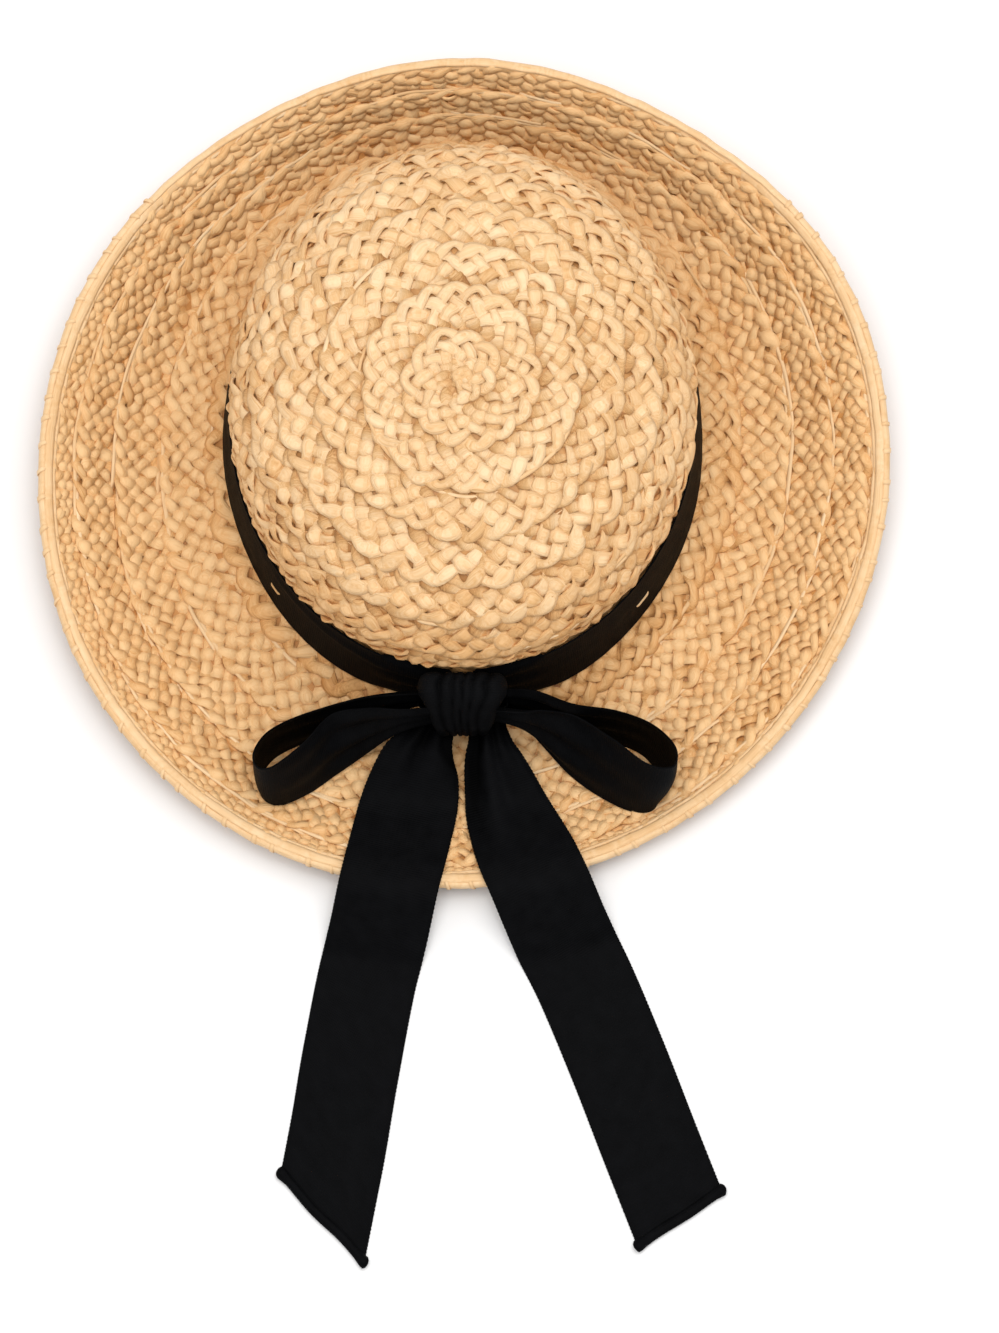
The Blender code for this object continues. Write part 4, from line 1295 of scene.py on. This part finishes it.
# The rolled hem: how wide it is, and half its thickness along its middle and at its corners
HEM = 3.4 * MM
HEM_HALF = 1.05 * MM
CORNER_HALF = 1.55 * MM
# The small teeth of the ribbon's edge: how far apart, how deep, and how far the hem's corners stand out
SERRATION = 1.4 * MM
TOOTH = 0.10 * MM
CORNER_OUT = 0.45 * MM
# How far the tail is lifted over the brim's plait, in full from the second height on
OVER_PLAIT, IN_FULL = 1.5 * MM, 4 * MM


def under_tail(tree, place):
    """The height of the CAD tail's underside at a place in plan, or at the nearest place of it."""
    met = tree.ray_cast(Vector((place[0], place[1], -0.2)), UP)[0]
    if met is None:
        met = tree.find_nearest(Vector((place[0], place[1], 0)))[0]
    return met.z


tail_ends = [round(aside[-1] * TAIL_REACH / MM, 1) for aside in (LEFT_ASIDE, RIGHT_ASIDE)]
print("the tails end so far to the right of the knot in mm:", tail_ends)

# %% One tail
TAIL_STEPS = 460


def add_tail(name, node, aside, spread, side, cut, wave, folds):
    """A tail whose end is cut on the slant by one length and waves by another."""
    share = np.linspace(0, 1, TAIL_STEPS)
    ahead, aside, spread = (
        bend_through(values, share * (len(values) - 1)) for values in (TAIL_AHEAD, aside, spread)
    )
    spread = np.clip(spread, 0.3, 1)
    level = np.zeros(len(share))
    middle = np.stack([knot_centre[0] + aside * TAIL_REACH, knot_centre[1] - ahead * TAIL_REACH, level], 1)
    way = unit(np.stack([np.gradient(aside), -np.gradient(ahead), level], 1))
    outside = np.stack([-way[:, 1], way[:, 0], level], 1) * side
    along = length_along(middle)
    from_tip = along[-1] - along
    edge = np.sign(ACROSS) * ease((np.abs(ACROSS) - 0.45) / 0.05)
    serration = TOOTH * np.sin(along / SERRATION * math.tau)
    corner = CORNER_OUT * np.exp(-(((from_tip - HEM / 2) / (HEM * 0.45)) ** 2))
    width = RIBBON_WIDTH * spread[:, None] * ACROSS + edge * (serration + corner)[:, None]
    slant = -cut * ACROSS + wave * np.sin(ACROSS * 9 + 0.6)
    slant = slant[None, :] * ease((share - 0.5) / 0.5)[:, None]
    grid = middle[:, None] + outside[:, None] * width[..., None] + way[:, None] * slant[..., None]
    # The height is read a little inside the edges, where there is sure to be some of the solid.
    centre = grid[:, MIDDLE : MIDDLE + 1]
    under = [[under_tail(trees[node], place) for place in row] for row in centre + (grid - centre) * 0.97]
    under = softened(np.array(under), 10)
    rolled = np.sqrt(np.maximum(1 - (from_tip / HEM * 2 - 1) ** 2, 0))[:, None]
    at_corner = ease((np.abs(ACROSS) - 0.40) / 0.08)
    half = HALF_THICK + (HEM_HALF + (CORNER_HALF - HEM_HALF) * at_corner) * rolled
    half = half * np.where(np.abs(ACROSS) == 0.5, 0.5, 1)
    lift = OVER_PLAIT * ease(under / IN_FULL)
    pleats = np.abs(pleated(spread, 1.5, 0.15)) * 0.3
    # Painted shade near the knot, a little darker on the teeth of the edge, and for each fold a painted
    # highlight on its ridge with painted shade beside it
    shade = -0.45 * ease((0.24 - share) / 0.24)[:, None] - 0.12 * (edge * serration[:, None] / MM) ** 2
    for start, end, reach, wide, high in folds:
        centre = start + (end - start) * share[:, None] / reach
        fade = (ease(share / 0.03) * ease((reach - share) / (reach * 0.6)))[:, None]
        pleats = pleats + high * MM * fade * np.exp(-(((ACROSS - centre) / wide) ** 2))
        shade = shade + 0.10 * high * fade * np.exp(-(((ACROSS - centre - 0.8 * wide) / wide) ** 2))
        shade = shade - 0.18 * high * fade * np.exp(-(((ACROSS - centre + 1.7 * wide) / (1.1 * wide)) ** 2))
    grid[..., 2] = under + lift + half + pleats
    # Both sheets have to face up.
    if side > 0:
        grid, half, shade = (values[:, ::-1] for values in (grid, half, shade))
    add_ribbon(name, grid, node, half, shade=shade)


add_tail("ribbon_tail_left", "tail_left", LEFT_ASIDE, LEFT_SPREAD, -1, 26.5 * MM, 0.5 * MM, LEFT_FOLDS)
add_tail("ribbon_tail_right", "tail_right", RIGHT_ASIDE, RIGHT_SPREAD, 1, 8 * MM, 0.2 * MM, RIGHT_FOLDS)

# %% [markdown]
# ## Two tacks of raffia
#
# A short stitch of raffia on each side holds the band to the crown.

# %% Band tacks
# Where round the hat in turns, how high on the band, how long, and how light
TACKS = ((0.876, 0.46, 7.2 * MM, 0.78), (0.618, 0.46, 5.5 * MM, 0.35))
tacks = Bundle()
for turn, level, length, tone in TACKS:
    step = int(turn * BAND_STEPS)
    column = int(level * len(ACROSS))
    at = band_middle[step, column]
    sideways = unit(band_middle[step + 1, column] - band_middle[step - 1, column])
    outward = toward(turn)
    # It lies on the ribbon and goes in through it at both ends, and slants a little.
    along = np.linspace(-0.5, 0.5, 16)
    off = 0.45 * MM - 0.9 * MM * (2 * np.abs(along)) ** 8
    line = at + sideways * (along * length)[:, None] + outward * off[:, None]
    line[:, 2] += 0.10 * along * length
    rings = strand_rings(line, np.tile(outward, (len(line), 1)), 0.85 * MM, 0.4 * MM)
    tacks.add(rings, length_along(line), np.full(len(line), tone))
tacks.make("band_tacks", thread_raffia)

# %% [markdown]
# ## The floor, the light and the camera
#
# The hat lies on a plain white surface. Two wide soft lights hang over it, one behind on the right and one
# in front on the left, in a pale room, so a soft shadow shows under the rim and nowhere is it hard. The
# camera looks down from in front of the bow at 78 degrees, through a long lens.

# %% Floor
FLOOR_HALF = 4
# Just under the hat, so that the two surfaces never share a plane
FLOOR_HEIGHT = -0.4 * MM
floor_mesh = bpy.data.meshes.new("floor")
corners = [(x * FLOOR_HALF, y * FLOOR_HALF, 0) for x, y in ((-1, -1), (1, -1), (1, 1), (-1, 1))]
floor_mesh.from_pydata(corners, [], [(0, 1, 2, 3)])
floor = add_object("floor", floor_mesh)
floor.location.z = FLOOR_HEIGHT
paper, tree, shader = new_material("white paper")
grain = add_node(tree, "ShaderNodeTexNoise", {"Scale": 60.0, "Detail": 3.0})
shade = add_node(tree, "ShaderNodeMix", {"Factor": grain.outputs[0]}, data_type="RGBA")
shade.inputs["A"].default_value = (0.86, 0.86, 0.862, 1)
shade.inputs["B"].default_value = (0.885, 0.885, 0.887, 1)
tree.links.new(shade.outputs["Result"], shader.inputs["Base Color"])
shader.inputs["Roughness"].default_value = 0.8
floor_mesh.materials.append(paper)
floor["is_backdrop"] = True
print("the floor is", 2 * FLOOR_HALF, "m wide")


# %% Lights
LAMP_COLOUR = (1.0, 0.99, 0.98)


def point_at(made, place, aim):
    """Puts a lamp or a camera at a place, looking at another one."""
    made.location = place
    made.rotation_euler = (Vector(aim) - made.location).to_track_quat("-Z", "Y").to_euler()


def add_softbox(name, place, aim, size, power):
    light = bpy.data.lights.new(name, "AREA")
    light.shape = "DISK"
    light.size = size
    light.energy = power
    light.color = LAMP_COLOUR
    point_at(add_object(name, light), place, aim)


add_softbox("key", (0.32, 0.42, 2.2), (0, 0, 0), 1.6, 18.3)
add_softbox("fill", (-0.15, -0.25, 2.3), (0, 0.1, 0), 1.3, 19.8)
world = bpy.data.worlds.new("studio")
world.use_nodes = True
world.node_tree.nodes["Background"].inputs["Color"].default_value = (1, 1, 1, 1)
world.node_tree.nodes["Background"].inputs["Strength"].default_value = 0.71
bpy.context.scene.world = world
print("lights in watts:", {light.name: round(light.energy, 1) for light in bpy.data.lights})

# %% Camera
# How many metres the picture is high, at the aim
PICTURE_HEIGHT = 0.4959
DISTANCE = 3.5
ELEVATION = math.radians(78)
AIM = Vector((0.0131, 0.0005, 0))
lens = bpy.data.cameras.new("camera")
lens.sensor_fit = "VERTICAL"
lens.sensor_height = 36
lens.lens = lens.sensor_height * DISTANCE / PICTURE_HEIGHT
lens.clip_end = 20
camera = add_object("camera", lens)
point_at(camera, AIM + Vector((0, -math.cos(ELEVATION), math.sin(ELEVATION))) * DISTANCE, AIM)
bpy.context.scene.camera = camera
print("the lens in mm:", round(lens.lens, 1))

# %% [markdown]
# ## Is it still the same size?
#
# The plait and the ribbon may stand a millimetre or so proud of the smooth CAD walls. How far the
# visual model's box differs from the CAD box is printed.

# %% Sizes against the CAD box
model_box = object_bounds()
growth = [
    [round((seen - cad) * 1000, 1) for seen, cad in zip(*corners)] for corners in zip(model_box, cad_box)
]
print("the visual model against the CAD box in mm:", growth)
